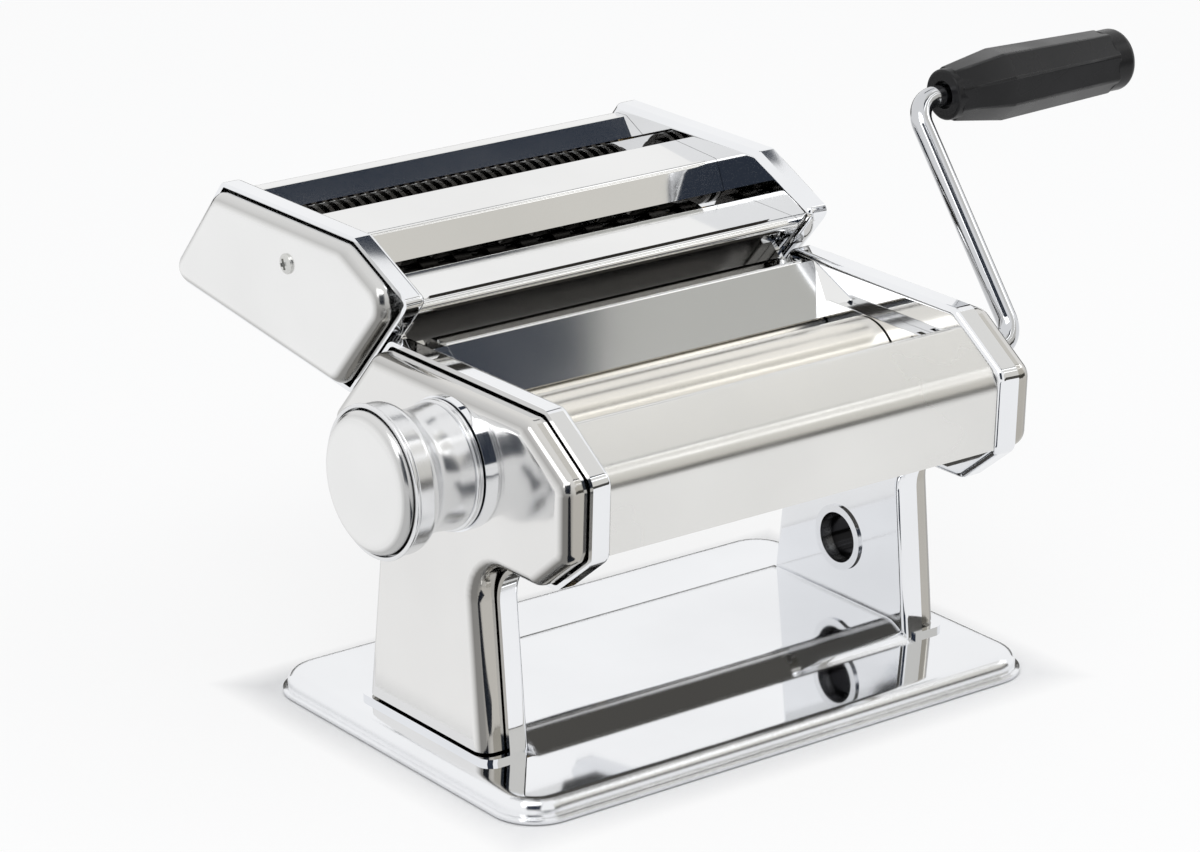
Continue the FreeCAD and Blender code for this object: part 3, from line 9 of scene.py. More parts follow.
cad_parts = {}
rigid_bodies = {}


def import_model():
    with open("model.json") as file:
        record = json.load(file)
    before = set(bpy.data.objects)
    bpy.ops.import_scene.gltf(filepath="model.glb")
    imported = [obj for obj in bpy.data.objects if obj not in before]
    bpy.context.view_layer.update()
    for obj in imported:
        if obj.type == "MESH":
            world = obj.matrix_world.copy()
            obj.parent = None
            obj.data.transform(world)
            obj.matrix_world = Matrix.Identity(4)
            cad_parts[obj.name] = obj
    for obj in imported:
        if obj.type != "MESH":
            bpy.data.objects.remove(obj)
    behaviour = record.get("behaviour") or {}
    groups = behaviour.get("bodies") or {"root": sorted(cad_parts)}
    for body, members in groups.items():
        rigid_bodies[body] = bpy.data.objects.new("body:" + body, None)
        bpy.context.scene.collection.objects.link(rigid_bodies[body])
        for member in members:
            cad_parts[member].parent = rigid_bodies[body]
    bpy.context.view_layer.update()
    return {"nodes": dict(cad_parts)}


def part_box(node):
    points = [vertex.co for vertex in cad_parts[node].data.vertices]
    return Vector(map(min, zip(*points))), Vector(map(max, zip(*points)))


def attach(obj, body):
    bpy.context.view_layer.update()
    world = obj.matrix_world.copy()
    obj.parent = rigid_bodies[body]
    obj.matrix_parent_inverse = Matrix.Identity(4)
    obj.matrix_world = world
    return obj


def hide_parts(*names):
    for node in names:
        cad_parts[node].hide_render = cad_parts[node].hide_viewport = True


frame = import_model()
nodes = frame["nodes"]
scene = bpy.context.scene
scene.view_settings.view_transform = "Standard"

# Where the machine stands: its sizes are taken in millimetres from the middle of the base,
# with X along the rollers to the crank, Y from the feeding side to the cutter, and Z up.
MM = 0.001
base_low, base_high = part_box("base_plate")
base_middle = Vector(((base_low[0] + base_high[0]) / 2, (base_low[1] + base_high[1]) / 2, 0.0))


def at(x, y, z):
    """A point given in millimetres from the middle of the base."""
    return base_middle + Vector((x, y, z)) * MM


# The camera stands at the photograph's place: low, in front of the knob's end,
# with a long lens, so that the machine's lines run almost parallel.
VIEW_TURN = math.radians(-37.01)
VIEW_DIP = math.radians(19.60)
SENSOR_WIDTH, LENS_LENGTH = 36.0, 131.78
VIEW_REACH = 20.0
camera_data = bpy.data.cameras.new("camera")
camera_data.sensor_width = SENSOR_WIDTH
camera_data.lens = LENS_LENGTH
camera_data.clip_end = VIEW_REACH
camera = bpy.data.objects.new("camera", camera_data)
camera.location = at(-795.8, -1027.3, 549.1)
camera.rotation_euler = (math.pi / 2 - VIEW_DIP, 0.0, VIEW_TURN)
scene.collection.objects.link(camera)
scene.camera = camera

# The studio's surround: a white tent that the camera and the metal see at full white,
# and that lights the machine a little less.
TENT_SEEN, TENT_LIGHT = 1.0, 0.75
TENT_TINT = (0.97, 0.98, 1.0, 1.0)
world = bpy.data.worlds.new("white_tent")
world.use_nodes = True
scene.world = world
tent = world.node_tree.nodes
tent_links = world.node_tree.links
tent.clear()
tent_out = tent.new("ShaderNodeOutputWorld")
tent_seen = tent.new("ShaderNodeBackground")
tent_light = tent.new("ShaderNodeBackground")
tent_mix = tent.new("ShaderNodeMixShader")
tent_path = tent.new("ShaderNodeLightPath")
tent_mirrored = tent.new("ShaderNodeMath")
tent_through = tent.new("ShaderNodeMath")
tent_mirrored.operation = "MAXIMUM"
tent_through.operation = "MAXIMUM"
tent_seen.inputs["Color"].default_value = (1.0, 1.0, 1.0, 1.0)
tent_seen.inputs["Strength"].default_value = TENT_SEEN
tent_light.inputs["Color"].default_value = TENT_TINT
tent_light.inputs["Strength"].default_value = TENT_LIGHT
tent_links.new(tent_path.outputs["Is Camera Ray"], tent_mirrored.inputs[0])
tent_links.new(tent_path.outputs["Is Glossy Ray"], tent_mirrored.inputs[1])
tent_links.new(tent_mirrored.outputs[0], tent_through.inputs[0])
tent_links.new(tent_path.outputs["Is Transmission Ray"], tent_through.inputs[1])
tent_links.new(tent_through.outputs[0], tent_mix.inputs[0])
tent_links.new(tent_light.outputs[0], tent_mix.inputs[1])
tent_links.new(tent_seen.outputs[0], tent_mix.inputs[2])
tent_links.new(tent_mix.outputs[0], tent_out.inputs["Surface"])


# The floor: matt white card under the machine. The camera and the metal see it close to
# full white, with the machine's soft shadow left in it beside the base.
def plain_sheet(name, width, height, place, aim):
    """A flat rectangle that faces a point, for the floor and the studio's cards."""
    mesh = bmesh.new()
    bmesh.ops.create_grid(mesh, x_segments=1, y_segments=1, size=0.5)
    bmesh.ops.scale(mesh, vec=(width, height, 1.0), verts=mesh.verts)
    turn = (aim - place).to_track_quat("Z", "Y").to_matrix().to_4x4()
    bmesh.ops.transform(mesh, matrix=Matrix.Translation(place) @ turn, verts=mesh.verts)
    data = bpy.data.meshes.new(name)
    mesh.to_mesh(data)
    mesh.free()
    sheet = bpy.data.objects.new(name, data)
    scene.collection.objects.link(sheet)
    return sheet


FLOOR_SIZE = 8.0
FLOOR_WHITE = (0.92, 0.92, 0.92, 1.0)
FLOOR_GLOW = 0.80
SHADOW_REACH = 0.014
floor = plain_sheet("floor", FLOOR_SIZE, FLOOR_SIZE, at(0, 0, 0), at(0, 0, 1000))
floor_paint = bpy.data.materials.new("white_card")
floor_paint.use_nodes = True
paint = floor_paint.node_tree.nodes
paint_links = floor_paint.node_tree.links
paint.clear()
paint_out = paint.new("ShaderNodeOutputMaterial")
paint_matt = paint.new("ShaderNodeBsdfDiffuse")
paint_glow = paint.new("ShaderNodeEmission")
paint_mix = paint.new("ShaderNodeMixShader")
paint_path = paint.new("ShaderNodeLightPath")
paint_seen = paint.new("ShaderNodeMath")
paint_share = paint.new("ShaderNodeMath")
paint_seen.operation = "MAXIMUM"
paint_share.operation = "MULTIPLY"
paint_near = paint.new("ShaderNodeTexCoord")
paint_from = paint.new("ShaderNodeVectorMath")
paint_away = paint.new("ShaderNodeVectorMath")
paint_beyond = paint.new("ShaderNodeVectorMath")
paint_split = paint.new("ShaderNodeSeparateXYZ")
paint_reach = paint.new("ShaderNodeMath")
paint_fade = paint.new("ShaderNodeMapRange")
paint_from.operation = "SUBTRACT"
paint_away.operation = "ABSOLUTE"
paint_beyond.operation = "SUBTRACT"
paint_reach.operation = "MAXIMUM"
paint_from.inputs[1].default_value = base_middle
paint_beyond.inputs[1].default_value = Vector(base_high) - base_middle
paint_fade.inputs["From Max"].default_value = SHADOW_REACH
paint_fade.inputs["To Max"].default_value = FLOOR_GLOW
paint_links.new(paint_near.outputs["Object"], paint_from.inputs[0])
paint_links.new(paint_from.outputs[0], paint_away.inputs[0])
paint_links.new(paint_away.outputs[0], paint_beyond.inputs[0])
paint_links.new(paint_beyond.outputs[0], paint_split.inputs[0])
paint_links.new(paint_split.outputs["X"], paint_reach.inputs[0])
paint_links.new(paint_split.outputs["Y"], paint_reach.inputs[1])
paint_links.new(paint_reach.outputs[0], paint_fade.inputs["Value"])
paint_links.new(paint_fade.outputs["Result"], paint_share.inputs[1])
paint_matt.inputs["Color"].default_value = FLOOR_WHITE
paint_glow.inputs["Strength"].default_value = 1.0
paint_links.new(paint_path.outputs["Is Camera Ray"], paint_seen.inputs[0])
paint_links.new(paint_path.outputs["Is Glossy Ray"], paint_seen.inputs[1])
paint_links.new(paint_seen.outputs[0], paint_share.inputs[0])
paint_links.new(paint_share.outputs[0], paint_mix.inputs[0])
paint_links.new(paint_matt.outputs[0], paint_mix.inputs[1])
paint_links.new(paint_glow.outputs[0], paint_mix.inputs[2])
paint_links.new(paint_mix.outputs[0], paint_out.inputs["Surface"])
floor.data.materials.append(floor_paint)


# Cards hung over and stood round the set, seen only in the metal. Dark ones draw the dark bands
# and outlines that make polished metal read as metal, pale and beige ones tone the sloping sheets,
# and one in the throat, clear from behind, darkens the roller where it faces the feed plate.
def card_board(name, colour, one_sided=False):
    """A board of one even tone in any light. A one-sided board is clear from behind."""
    board = bpy.data.materials.new(name)
    board.use_nodes = True
    board.node_tree.nodes.clear()
    tone = board.node_tree.nodes.new("ShaderNodeEmission")
    end = board.node_tree.nodes.new("ShaderNodeOutputMaterial")
    tone.inputs["Color"].default_value = (*colour, 1.0)
    board.node_tree.links.new(tone.outputs[0], end.inputs["Surface"])
    if one_sided:
        side = board.node_tree.nodes.new("ShaderNodeNewGeometry")
        clear = board.node_tree.nodes.new("ShaderNodeBsdfTransparent")
        choice = board.node_tree.nodes.new("ShaderNodeMixShader")
        board.node_tree.links.new(side.outputs["Backfacing"], choice.inputs["Fac"])
        board.node_tree.links.new(tone.outputs[0], choice.inputs[1])
        board.node_tree.links.new(clear.outputs[0], choice.inputs[2])
        board.node_tree.links.new(choice.outputs[0], end.inputs["Surface"])
    return board


dark_board = card_board("dark_board", (0.030, 0.038, 0.055))
grey_board = card_board("grey_board", (0.50, 0.50, 0.48))
pale_board = card_board("pale_board", (0.80, 0.79, 0.76))
beige_board = card_board("beige_board", (0.70, 0.685, 0.645))
shade_board = card_board("shade_board", (0.075, 0.072, 0.066))
throat_board = card_board("throat_board", (0.030, 0.028, 0.025), one_sided=True)
CARD_LEVEL = 900
UNDER_HEAD = 71
ON_FLOOR = 0.3
for name, board, x_low, x_high, y_low, y_high, level in (
    ("card_over_cutter", dark_board, 340, 690, 292, 420, CARD_LEVEL),
    ("card_over_feed_end", dark_board, 300, 556, -335, -215, CARD_LEVEL),
    ("card_over_feed", grey_board, 556, 950, -335, -215, CARD_LEVEL),
    ("card_over_panel", pale_board, 340, 950, -215, -60, CARD_LEVEL),
    ("card_over_front", pale_board, 340, 1000, -760, -400, CARD_LEVEL),
    # card_under_head is a dark sheet between the legs, seen only in the metal, as painted shade under the
    # head.
    ("card_under_head", shade_board, -73, 73, -52, 22, UNDER_HEAD),
):
    middle = at((x_low + x_high) / 2, (y_low + y_high) / 2, level)
    width, depth = (x_high - x_low) * MM, (y_high - y_low) * MM
    card = plain_sheet(name, width, depth, middle, middle + Vector((0, 0, 1)))
    card.data.materials.append(board)
for name, board, width, height, place, aim in (
    ("card_behind_camera", dark_board, 1100, 1700, at(-980, -1130, 1000), at(0, 0, 100)),
    ("card_front_right", beige_board, 1200, 620, at(690, -870, 480), at(0, 0, 400)),
    ("card_low_right", shade_board, 1200, 250, at(660, -830, 130), at(0, 0, 130)),
    ("card_low_behind", shade_board, 1500, 200, at(520, 690, 103), at(0, 0, 103)),
    ("card_on_feed_plate", throat_board, 134, 48, at(0, 16.1, 126.2), at(0, -52.9, 198.2)),
):
    card = plain_sheet(name, width * MM, height * MM, place, aim)
    card.data.materials.append(board)
STRIP_START, STRIP_END, STRIP_WIDTH = 110, 620, 70
STRIP_ROOT_Y = -20
strip_way = at(0, 0, 0) - camera.location
strip_way.z = 0.0
strip_way.normalize()
strip_middle = at(0, STRIP_ROOT_Y, ON_FLOOR) - strip_way * (STRIP_START + STRIP_END) / 2 * MM
strip_length = (STRIP_END - STRIP_START) * MM
strip = plain_sheet("card_on_floor", STRIP_WIDTH * MM, strip_length, Vector(), Vector((0, 0, 1)))
strip_turn = strip_way.to_track_quat("Y", "Z").to_matrix().to_4x4()
strip.data.transform(Matrix.Translation(strip_middle) @ strip_turn)
strip.data.materials.append(dark_board)
for card in scene.collection.objects:
    if card.name.startswith("card_"):
        card.visible_camera = False
        card.visible_shadow = False
        card.visible_diffuse = False

# Two large soft lamps: the main one high on the left, behind the camera's shoulder,
# and a weaker one on the right that keeps the crank's side from going dull.
for name, power, size, place in (
    ("main_lamp", 9.0, 1.2, at(-900, -700, 1500)),
    ("fill_lamp", 4.0, 1.0, at(1100, -600, 1200)),
):
    lamp_data = bpy.data.lights.new(name, "AREA")
    lamp_data.energy = power
    lamp_data.size = size
    lamp = bpy.data.objects.new(name, lamp_data)
    lamp.location = place
    lamp.rotation_euler = (at(0, 0, 0) - place).to_track_quat("-Z", "Y").to_euler()
    scene.collection.objects.link(lamp)


# Base: a plate of steel sheet, pressed to a raised middle with a rounded edge and a lip at its foot.
# It is chromed: a mirror with faint handling marks, a little round at each pressed crease.
def new_group(name, inputs, outputs):
    """An empty shader group with number inputs and named outputs."""
    group = bpy.data.node_groups.new(name, "ShaderNodeTree")
    for label, value in inputs:
        socket = group.interface.new_socket(name=label, in_out="INPUT", socket_type="NodeSocketFloat")
        socket.default_value = value
    for label in outputs:
        group.interface.new_socket(name=label, in_out="OUTPUT", socket_type="NodeSocketFloat")
    return group, group.nodes.new("NodeGroupInput"), group.nodes.new("NodeGroupOutput")


MARKS_DETAIL = 4.0
MARKS_START, MARKS_FULL = 0.35, 0.70
marks, marks_in, marks_out = new_group(
    "handling_marks", (("Clean", 0.1), ("Smudged", 0.2), ("Size", 12.0)), ("Roughness", "Dullness"))
marks_place = marks.nodes.new("ShaderNodeTexCoord")
marks_cloud = marks.nodes.new("ShaderNodeTexNoise")
marks_range = marks.nodes.new("ShaderNodeMapRange")
marks_mix = marks.nodes.new("ShaderNodeMapRange")
marks_cloud.inputs["Detail"].default_value = MARKS_DETAIL
marks_range.inputs["From Min"].default_value = MARKS_START
marks_range.inputs["From Max"].default_value = MARKS_FULL
marks.links.new(marks_place.outputs["Object"], marks_cloud.inputs["Vector"])
marks.links.new(marks_in.outputs["Size"], marks_cloud.inputs["Scale"])
marks.links.new(marks_cloud.outputs["Fac"], marks_range.inputs["Value"])
marks.links.new(marks_range.outputs["Result"], marks_mix.inputs["Value"])
marks.links.new(marks_in.outputs["Clean"], marks_mix.inputs["To Min"])
marks.links.new(marks_in.outputs["Smudged"], marks_mix.inputs["To Max"])
marks.links.new(marks_mix.outputs["Result"], marks_out.inputs["Roughness"])
marks.links.new(marks_range.outputs["Result"], marks_out.inputs["Dullness"])

LINES_DETAIL = 3.0
drawn_lines, lines_in, lines_out = new_group(
    "drawn_lines", (("Across X", 40.0), ("Across Y", 1500.0), ("Across Z", 1500.0)), ("Height",))
lines_place = drawn_lines.nodes.new("ShaderNodeTexCoord")
lines_stretch = drawn_lines.nodes.new("ShaderNodeVectorMath")
lines_scale = drawn_lines.nodes.new("ShaderNodeCombineXYZ")
lines_noise = drawn_lines.nodes.new("ShaderNodeTexNoise")
lines_stretch.operation = "MULTIPLY"
lines_noise.inputs["Scale"].default_value = 1.0
lines_noise.inputs["Detail"].default_value = LINES_DETAIL
for letter in "XYZ":
    drawn_lines.links.new(lines_in.outputs["Across " + letter], lines_scale.inputs[letter])
drawn_lines.links.new(lines_place.outputs["Object"], lines_stretch.inputs[0])
drawn_lines.links.new(lines_scale.outputs[0], lines_stretch.inputs[1])
drawn_lines.links.new(lines_stretch.outputs[0], lines_noise.inputs["Vector"])
drawn_lines.links.new(lines_noise.outputs["Fac"], lines_out.inputs["Height"])


def finish_of(name, colour, clean, smudged, metallic=1.0, lines=None, depth=0.0, size=12.0, dull=0.93):
    """A surface with handling marks and, where lines gives their scales, drawn or ground lines."""
    finish = bpy.data.materials.new(name)
    finish.use_nodes = True
    tree = finish.node_tree
    shader = tree.nodes["Principled BSDF"]
    shader.inputs["Metallic"].default_value = metallic
    wear = tree.nodes.new("ShaderNodeGroup")
    wear.node_tree = marks
    wear.inputs["Clean"].default_value = clean
    wear.inputs["Smudged"].default_value = smudged
    wear.inputs["Size"].default_value = size
    tones = tree.nodes.new("ShaderNodeValToRGB")
    tones.color_ramp.elements[0].color = (*colour, 1.0)
    tones.color_ramp.elements[1].color = (*(part * dull for part in colour), 1.0)
    tree.links.new(wear.outputs["Roughness"], shader.inputs["Roughness"])
    tree.links.new(wear.outputs["Dullness"], tones.inputs["Fac"])
    tree.links.new(tones.outputs["Color"], shader.inputs["Base Color"])
    if lines:
        grain = tree.nodes.new("ShaderNodeGroup")
        grain.node_tree = drawn_lines
        for letter, scale in zip("XYZ", lines):
            grain.inputs["Across " + letter].default_value = scale
        bump = tree.nodes.new("ShaderNodeBump")
        bump.inputs["Strength"].default_value = 1.0
        bump.inputs["Distance"].default_value = depth
        tree.links.new(grain.outputs["Height"], bump.inputs["Height"])
        tree.links.new(bump.outputs["Normal"], shader.inputs["Normal"])
    return finish


JOINED_WITHIN = 0.000002
CRISP_ANGLE = math.radians(17.0)
FLATS_WEIGHT = 100
bends = bpy.data.node_groups.new("smooth_across_bends", "GeometryNodeTree")
bends.interface.new_socket(name="Geometry", in_out="INPUT", socket_type="NodeSocketGeometry")
bends.interface.new_socket(name="Geometry", in_out="OUTPUT", socket_type="NodeSocketGeometry")
bends_in = bends.nodes.new("NodeGroupInput")
bends_out = bends.nodes.new("NodeGroupOutput")
bends_bare = bends.nodes.new("GeometryNodeRemoveAttribute")
bends_join = bends.nodes.new("GeometryNodeMergeByDistance")
bends_all = bends.nodes.new("GeometryNodeSetShadeSmooth")
bends_edges = bends.nodes.new("GeometryNodeSetShadeSmooth")
bends_angle = bends.nodes.new("GeometryNodeInputMeshEdgeAngle")
bends_sharp = bends.nodes.new("FunctionNodeCompare")
bends_bare.inputs["Name"].default_value = "custom_normal"
bends_join.inputs["Distance"].default_value = JOINED_WITHIN
bends_edges.domain = "EDGE"
bends_edges.inputs["Shade Smooth"].default_value = False
bends_sharp.operation = "GREATER_THAN"
bends_sharp.inputs["B"].default_value = CRISP_ANGLE
bends.links.new(bends_in.outputs[0], bends_bare.inputs["Geometry"])
bends.links.new(bends_bare.outputs[0], bends_join.inputs["Geometry"])
bends.links.new(bends_join.outputs[0], bends_all.inputs[0])
bends.links.new(bends_all.outputs[0], bends_edges.inputs[0])
bends.links.new(bends_angle.outputs["Unsigned Angle"], bends_sharp.inputs["A"])
bends.links.new(bends_sharp.outputs[0], bends_edges.inputs["Selection"])
bends.links.new(bends_edges.outputs[0], bends_out.inputs[0])


def smooth(piece):
    """Shade a piece smooth across its bends, crisp at its edges, and flat where it is flat."""
    joined = piece.modifiers.new("smooth_across_bends", "NODES")
    joined.node_group = bends
    flats = piece.modifiers.new("flat_faces", "WEIGHTED_NORMAL")
    flats.keep_sharp = True
    flats.weight = FLATS_WEIGHT


def coat(finish, *names):
    """Give solids of the frame a finish and soft shading."""
    for name in names:
        slots = nodes[name].data.materials
        slots.clear()
        slots.append(finish)
        smooth(nodes[name])


CHROME = (0.87, 0.88, 0.90)
CHROME_CLEAN, CHROME_SMUDGED = 0.03, 0.07
CREASE_RADIUS = 0.003
CREASE_SAMPLES = 8
pressed_chrome = finish_of("pressed_chrome", CHROME, CHROME_CLEAN, CHROME_SMUDGED)
crease = pressed_chrome.node_tree.nodes.new("ShaderNodeBevel")
crease.samples = CREASE_SAMPLES
crease.inputs["Radius"].default_value = CREASE_RADIUS
pressed_shader = pressed_chrome.node_tree.nodes["Principled BSDF"]
pressed_chrome.node_tree.links.new(crease.outputs["Normal"], pressed_shader.inputs["Normal"])
coat(pressed_chrome, "base_plate")

# Feet: round pads of black moulded rubber that keep the base from sliding and from marking the table.
# They are stuck under the base, one at each corner.
foot_rubber = finish_of("foot_rubber", (0.022, 0.022, 0.022), 0.70, 0.85, metallic=0.0,
                        lines=(400.0, 400.0, 400.0), depth=0.00004)
coat(foot_rubber, "rubber_feet")

# Base screws: machine screws of zinc-plated steel, which hold the legs to the base.
# They are driven from below, so only the underside shows them.
zinc_screw = finish_of("zinc_screw", (0.66, 0.66, 0.64), 0.25, 0.38)
coat(zinc_screw, "base_screws")

# Side plates: steel sheet cut to the outline of head and leg, with its rim folded outwards all round,
# and chromed like the base. They stand on the base and carry everything else.
chrome_plate = finish_of("chrome_plate", CHROME, CHROME_CLEAN, CHROME_SMUDGED)
coat(chrome_plate, "left_side_plate", "right_side_plate")

# Clamp bush: a turned steel lining of the hole in the right leg, for the table clamp's hook.
# It goes in from inside up to its flange, polished at that inner lip; further in its colour is painted black,
# as painted shade inside the hole.
BUSH_LIP = 0.0024
LIP_STEEL = (0.80, 0.81, 0.83)
BUSH_SHADE = (0.018, 0.018, 0.020)
bush_inner_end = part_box("clamp_bush")[0][0]
painted_shade_bush = finish_of("painted_shade_bush", LIP_STEEL, 0.10, 0.20)
bush_tree = painted_shade_bush.node_tree
# Past the lip the colour turns black by depth: painted shade inside the hole.
bush_place = bush_tree.nodes.new("ShaderNodeTexCoord")
bush_split = bush_tree.nodes.new("ShaderNodeSeparateXYZ")
bush_depth = bush_tree.nodes.new("ShaderNodeMapRange")
bush_tones = bush_tree.nodes.new("ShaderNodeValToRGB")
bush_depth.inputs["From Min"].default_value = bush_inner_end + BUSH_LIP
bush_depth.inputs["From Max"].default_value = bush_inner_end + BUSH_LIP * 2
bush_tones.color_ramp.elements[0].color = (*LIP_STEEL, 1.0)
bush_tones.color_ramp.elements[1].color = (*BUSH_SHADE, 1.0)
bush_tree.links.new(bush_place.outputs["Object"], bush_split.inputs[0])
bush_tree.links.new(bush_split.outputs["X"], bush_depth.inputs["Value"])
bush_tree.links.new(bush_depth.outputs["Result"], bush_tones.inputs["Fac"])
bush_shader = bush_tree.nodes["Principled BSDF"]
bush_tree.links.new(bush_tones.outputs["Color"], bush_shader.inputs["Base Color"])
coat(painted_shade_bush, "clamp_bush")

# Tie rods: bars of drawn steel that hold the side plates at their distance.
# Their ends are threaded, pass through the plates and take a hexagon nut each.
drawn_steel = finish_of("drawn_steel", (0.56, 0.56, 0.55), 0.28, 0.40,
                        lines=(30.0, 900.0, 900.0), depth=0.000006)
coat(drawn_steel, "tie_rods", "tie_rod_nuts")

# Rollers: steel tubes turned and ground across, on stub axles.
# The rear one runs in brass bushes and the front one in a carriage of two sliding blocks.
ground_roller = finish_of("ground_roller", (0.81, 0.785, 0.73), 0.20, 0.27,
                          lines=(2500.0, 60.0, 60.0), depth=0.000006)
coat(ground_roller, "front_roller", "rear_roller")
bush_brass = finish_of("bush_brass", (0.72, 0.52, 0.24), 0.28, 0.40)
coat(bush_brass, "rear_roller_bushes")
coat(drawn_steel, "left_bearing_block", "right_bearing_block", "carriage_bar")

# Scrapers: thin blades of spring steel, rolled along their length, that lift the dough off.
# They reach up from two cross bars to just short of the rollers.
GRAIN_ALONG = (30.0, 1500.0, 1500.0)
blade_steel = finish_of("blade_steel", (0.66, 0.655, 0.64), 0.20, 0.30, lines=GRAIN_ALONG, depth=0.000004)
coat(blade_steel, "front_scraper", "rear_scraper")

# Roller gears and crank pinion: milled steel with a film of grease, pressed on the ends of the axles.
# They run under the right cover and turn the two rollers against each other.
milled_gear = finish_of("milled_gear", (0.50, 0.49, 0.47), 0.26, 0.40,
                        lines=(200.0, 200.0, 200.0), depth=0.000008, size=40.0)
coat(milled_gear, "front_roller_gear", "rear_roller_gear", "front_drive_gear", "crank_pinion")

# Front panel: brushed stainless sheet with a soft fold, a lip along its top,
# and its grain along the rollers. It hooks into the flanges of the side plates.
brushed_panel = finish_of("brushed_panel", (0.80, 0.795, 0.775), 0.22, 0.30, lines=GRAIN_ALONG, depth=0.00001)
coat(brushed_panel, "front_panel")

# Feed plate, dough guides and rear panel: stainless sheet, folded and hooked in between the side plates.
# The dough slides on a bright rolled face. The rear panel behind it is rougher, and coloured dark as painted
# shade in the gap under the cutter.
bright_sheet = finish_of("bright_sheet", (0.84, 0.84, 0.835), 0.06, 0.10, lines=GRAIN_ALONG, depth=0.000001)
coat(bright_sheet, "feed_plate", "left_dough_guide", "right_dough_guide")
dull_shaded_sheet = finish_of("dull_shaded_sheet", (0.20, 0.195, 0.185), 0.16, 0.26, lines=GRAIN_ALONG, depth=0.000004)
coat(dull_shaded_sheet, "rear_panel")

# Rails and tongues: folded channels of bright sheet, welded to the side plates behind the head,
# and the runners of the cutter that slide down into them.
coat(bright_sheet, "attachment_rails", "cutter_tongues")


# Covers: stainless caps drawn in one press, with a satin face. Painted shade darkens their walls,
# most of all at the bend, standing in for dark reflections there. Screws from inside the side plates hold
# them in the flanges.
def painted_bend_shade(finish, wall, bend):
    """Paint shade into a drawn piece's colour at its wall and bend, told from its face by how far it looks
    along X.

    Edges that look up get less of this painted shade, as painted light along the top edges.
    """
    wall_end, bend_start, bend_end, face_start = 0.30, 0.58, 0.80, 0.985
    looking_up, shade_left_looking_up = 0.8, 0.4
    tree = finish.node_tree
    shader = tree.nodes["Principled BSDF"]
    face_tones = shader.inputs["Base Color"].links[0].from_socket
    direction = tree.nodes.new("ShaderNodeTexCoord")
    split = tree.nodes.new("ShaderNodeSeparateXYZ")
    facing = tree.nodes.new("ShaderNodeMath")
    shades = tree.nodes.new("ShaderNodeValToRGB")
    lit = tree.nodes.new("ShaderNodeMapRange")
    darken = tree.nodes.new("ShaderNodeMix")
    facing.operation = "ABSOLUTE"
    darken.data_type = "RGBA"
    darken.blend_type = "MULTIPLY"
    lit.inputs["From Max"].default_value = looking_up
    lit.inputs["To Min"].default_value = 1.0
    lit.inputs["To Max"].default_value = shade_left_looking_up
    stops = shades.color_ramp.elements
    stops[0].color = (*wall, 1.0)
    stops[1].position = face_start
    stops[1].color = (1.0, 1.0, 1.0, 1.0)
    stops.new(wall_end).color = (*wall, 1.0)
    stops.new(bend_start).color = (*bend, 1.0)
    stops.new(bend_end).color = (*bend, 1.0)
    tree.links.new(direction.outputs["Normal"], split.inputs[0])
    tree.links.new(split.outputs["X"], facing.inputs[0])
    tree.links.new(facing.outputs[0], shades.inputs["Fac"])
    tree.links.new(split.outputs["Z"], lit.inputs["Value"])
    tree.links.new(lit.outputs["Result"], darken.inputs["Factor"])
    tree.links.new(face_tones, darken.inputs["A"])
    tree.links.new(shades.outputs["Color"], darken.inputs["B"])
    tree.links.new(darken.outputs["Result"], shader.inputs["Base Color"])


satin_cover = finish_of("satin_cover", (0.83, 0.825, 0.815), 0.09, 0.14)
# Painted shade on the covers' walls and bend, standing in for dark reflections.
painted_bend_shade(satin_cover, (0.55, 0.53, 0.49), (0.24, 0.235, 0.225))
coat(satin_cover, "left_cover", "right_cover")
coat(zinc_screw, "cover_screws")

# Adjuster: a chromed index plate on the cover, and behind it a steel shaft with a cam,
# a spring that holds the knob in, and a pin that runs in the plate's ring groove.
coat(chrome_plate, "index_plate")
coat(drawn_steel, "knob_shaft", "adjusting_cam", "index_pin")
spring_wire = finish_of("spring_wire", (0.48, 0.48, 0.50), 0.22, 0.32)
coat(spring_wire, "knob_spring")


# Knob: a spun steel cup with a rolled rim, a plain drum and a hollowed waist, chromed,
# and a satin face pressed into its open end.
def finished(name, mesh, finish, body, slot, replaces=True):
    """Make a piece of a mesh that is drawn in millimetres from the middle of the base."""
    to_frame = Matrix.Translation(base_middle) @ Matrix.Scale(MM, 4)
    bmesh.ops.transform(mesh, matrix=to_frame, verts=mesh.verts)
    data = bpy.data.meshes.new(name)
    mesh.to_mesh(data)
    mesh.free()
    data.materials.append(finish)
    piece = bpy.data.objects.new(name, data)
    scene.collection.objects.link(piece)
    smooth(piece)
    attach(piece, body)
    if replaces:
        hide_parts(slot)


CORNER_SEGMENTS = 8


def spun(mesh, profile, centre_y, centre_z, closed, steps=128):
    """Spin a profile about an axis along X. Each of its points is X, radius and corner rounding."""
    points = [mesh.verts.new((x, centre_y, centre_z + radius)) for x, radius, rounding in profile]
    edges = [mesh.edges.new(pair) for pair in zip(points, points[1:])]
    if closed:
        edges.append(mesh.edges.new((points[-1], points[0])))
    old = set(mesh.edges) - set(edges)
    for point, (x, radius, rounding) in zip(points, profile):
        if rounding:
            bmesh.ops.bevel(mesh, geom=[point], offset=rounding, offset_type="OFFSET",
                            segments=CORNER_SEGMENTS, profile=0.5, affect="VERTICES", material=-1)
    line = [edge for edge in mesh.edges if edge not in old]
    ends = list({point for edge in line for point in edge.verts})
    bmesh.ops.spin(mesh, geom=line + ends, cent=(0, centre_y, centre_z), axis=(1, 0, 0),
                   angle=math.tau, steps=steps, use_merge=True)
    bmesh.ops.remove_doubles(mesh, verts=mesh.verts, dist=0.001)
    bmesh.ops.recalc_face_normals(mesh, faces=mesh.faces)


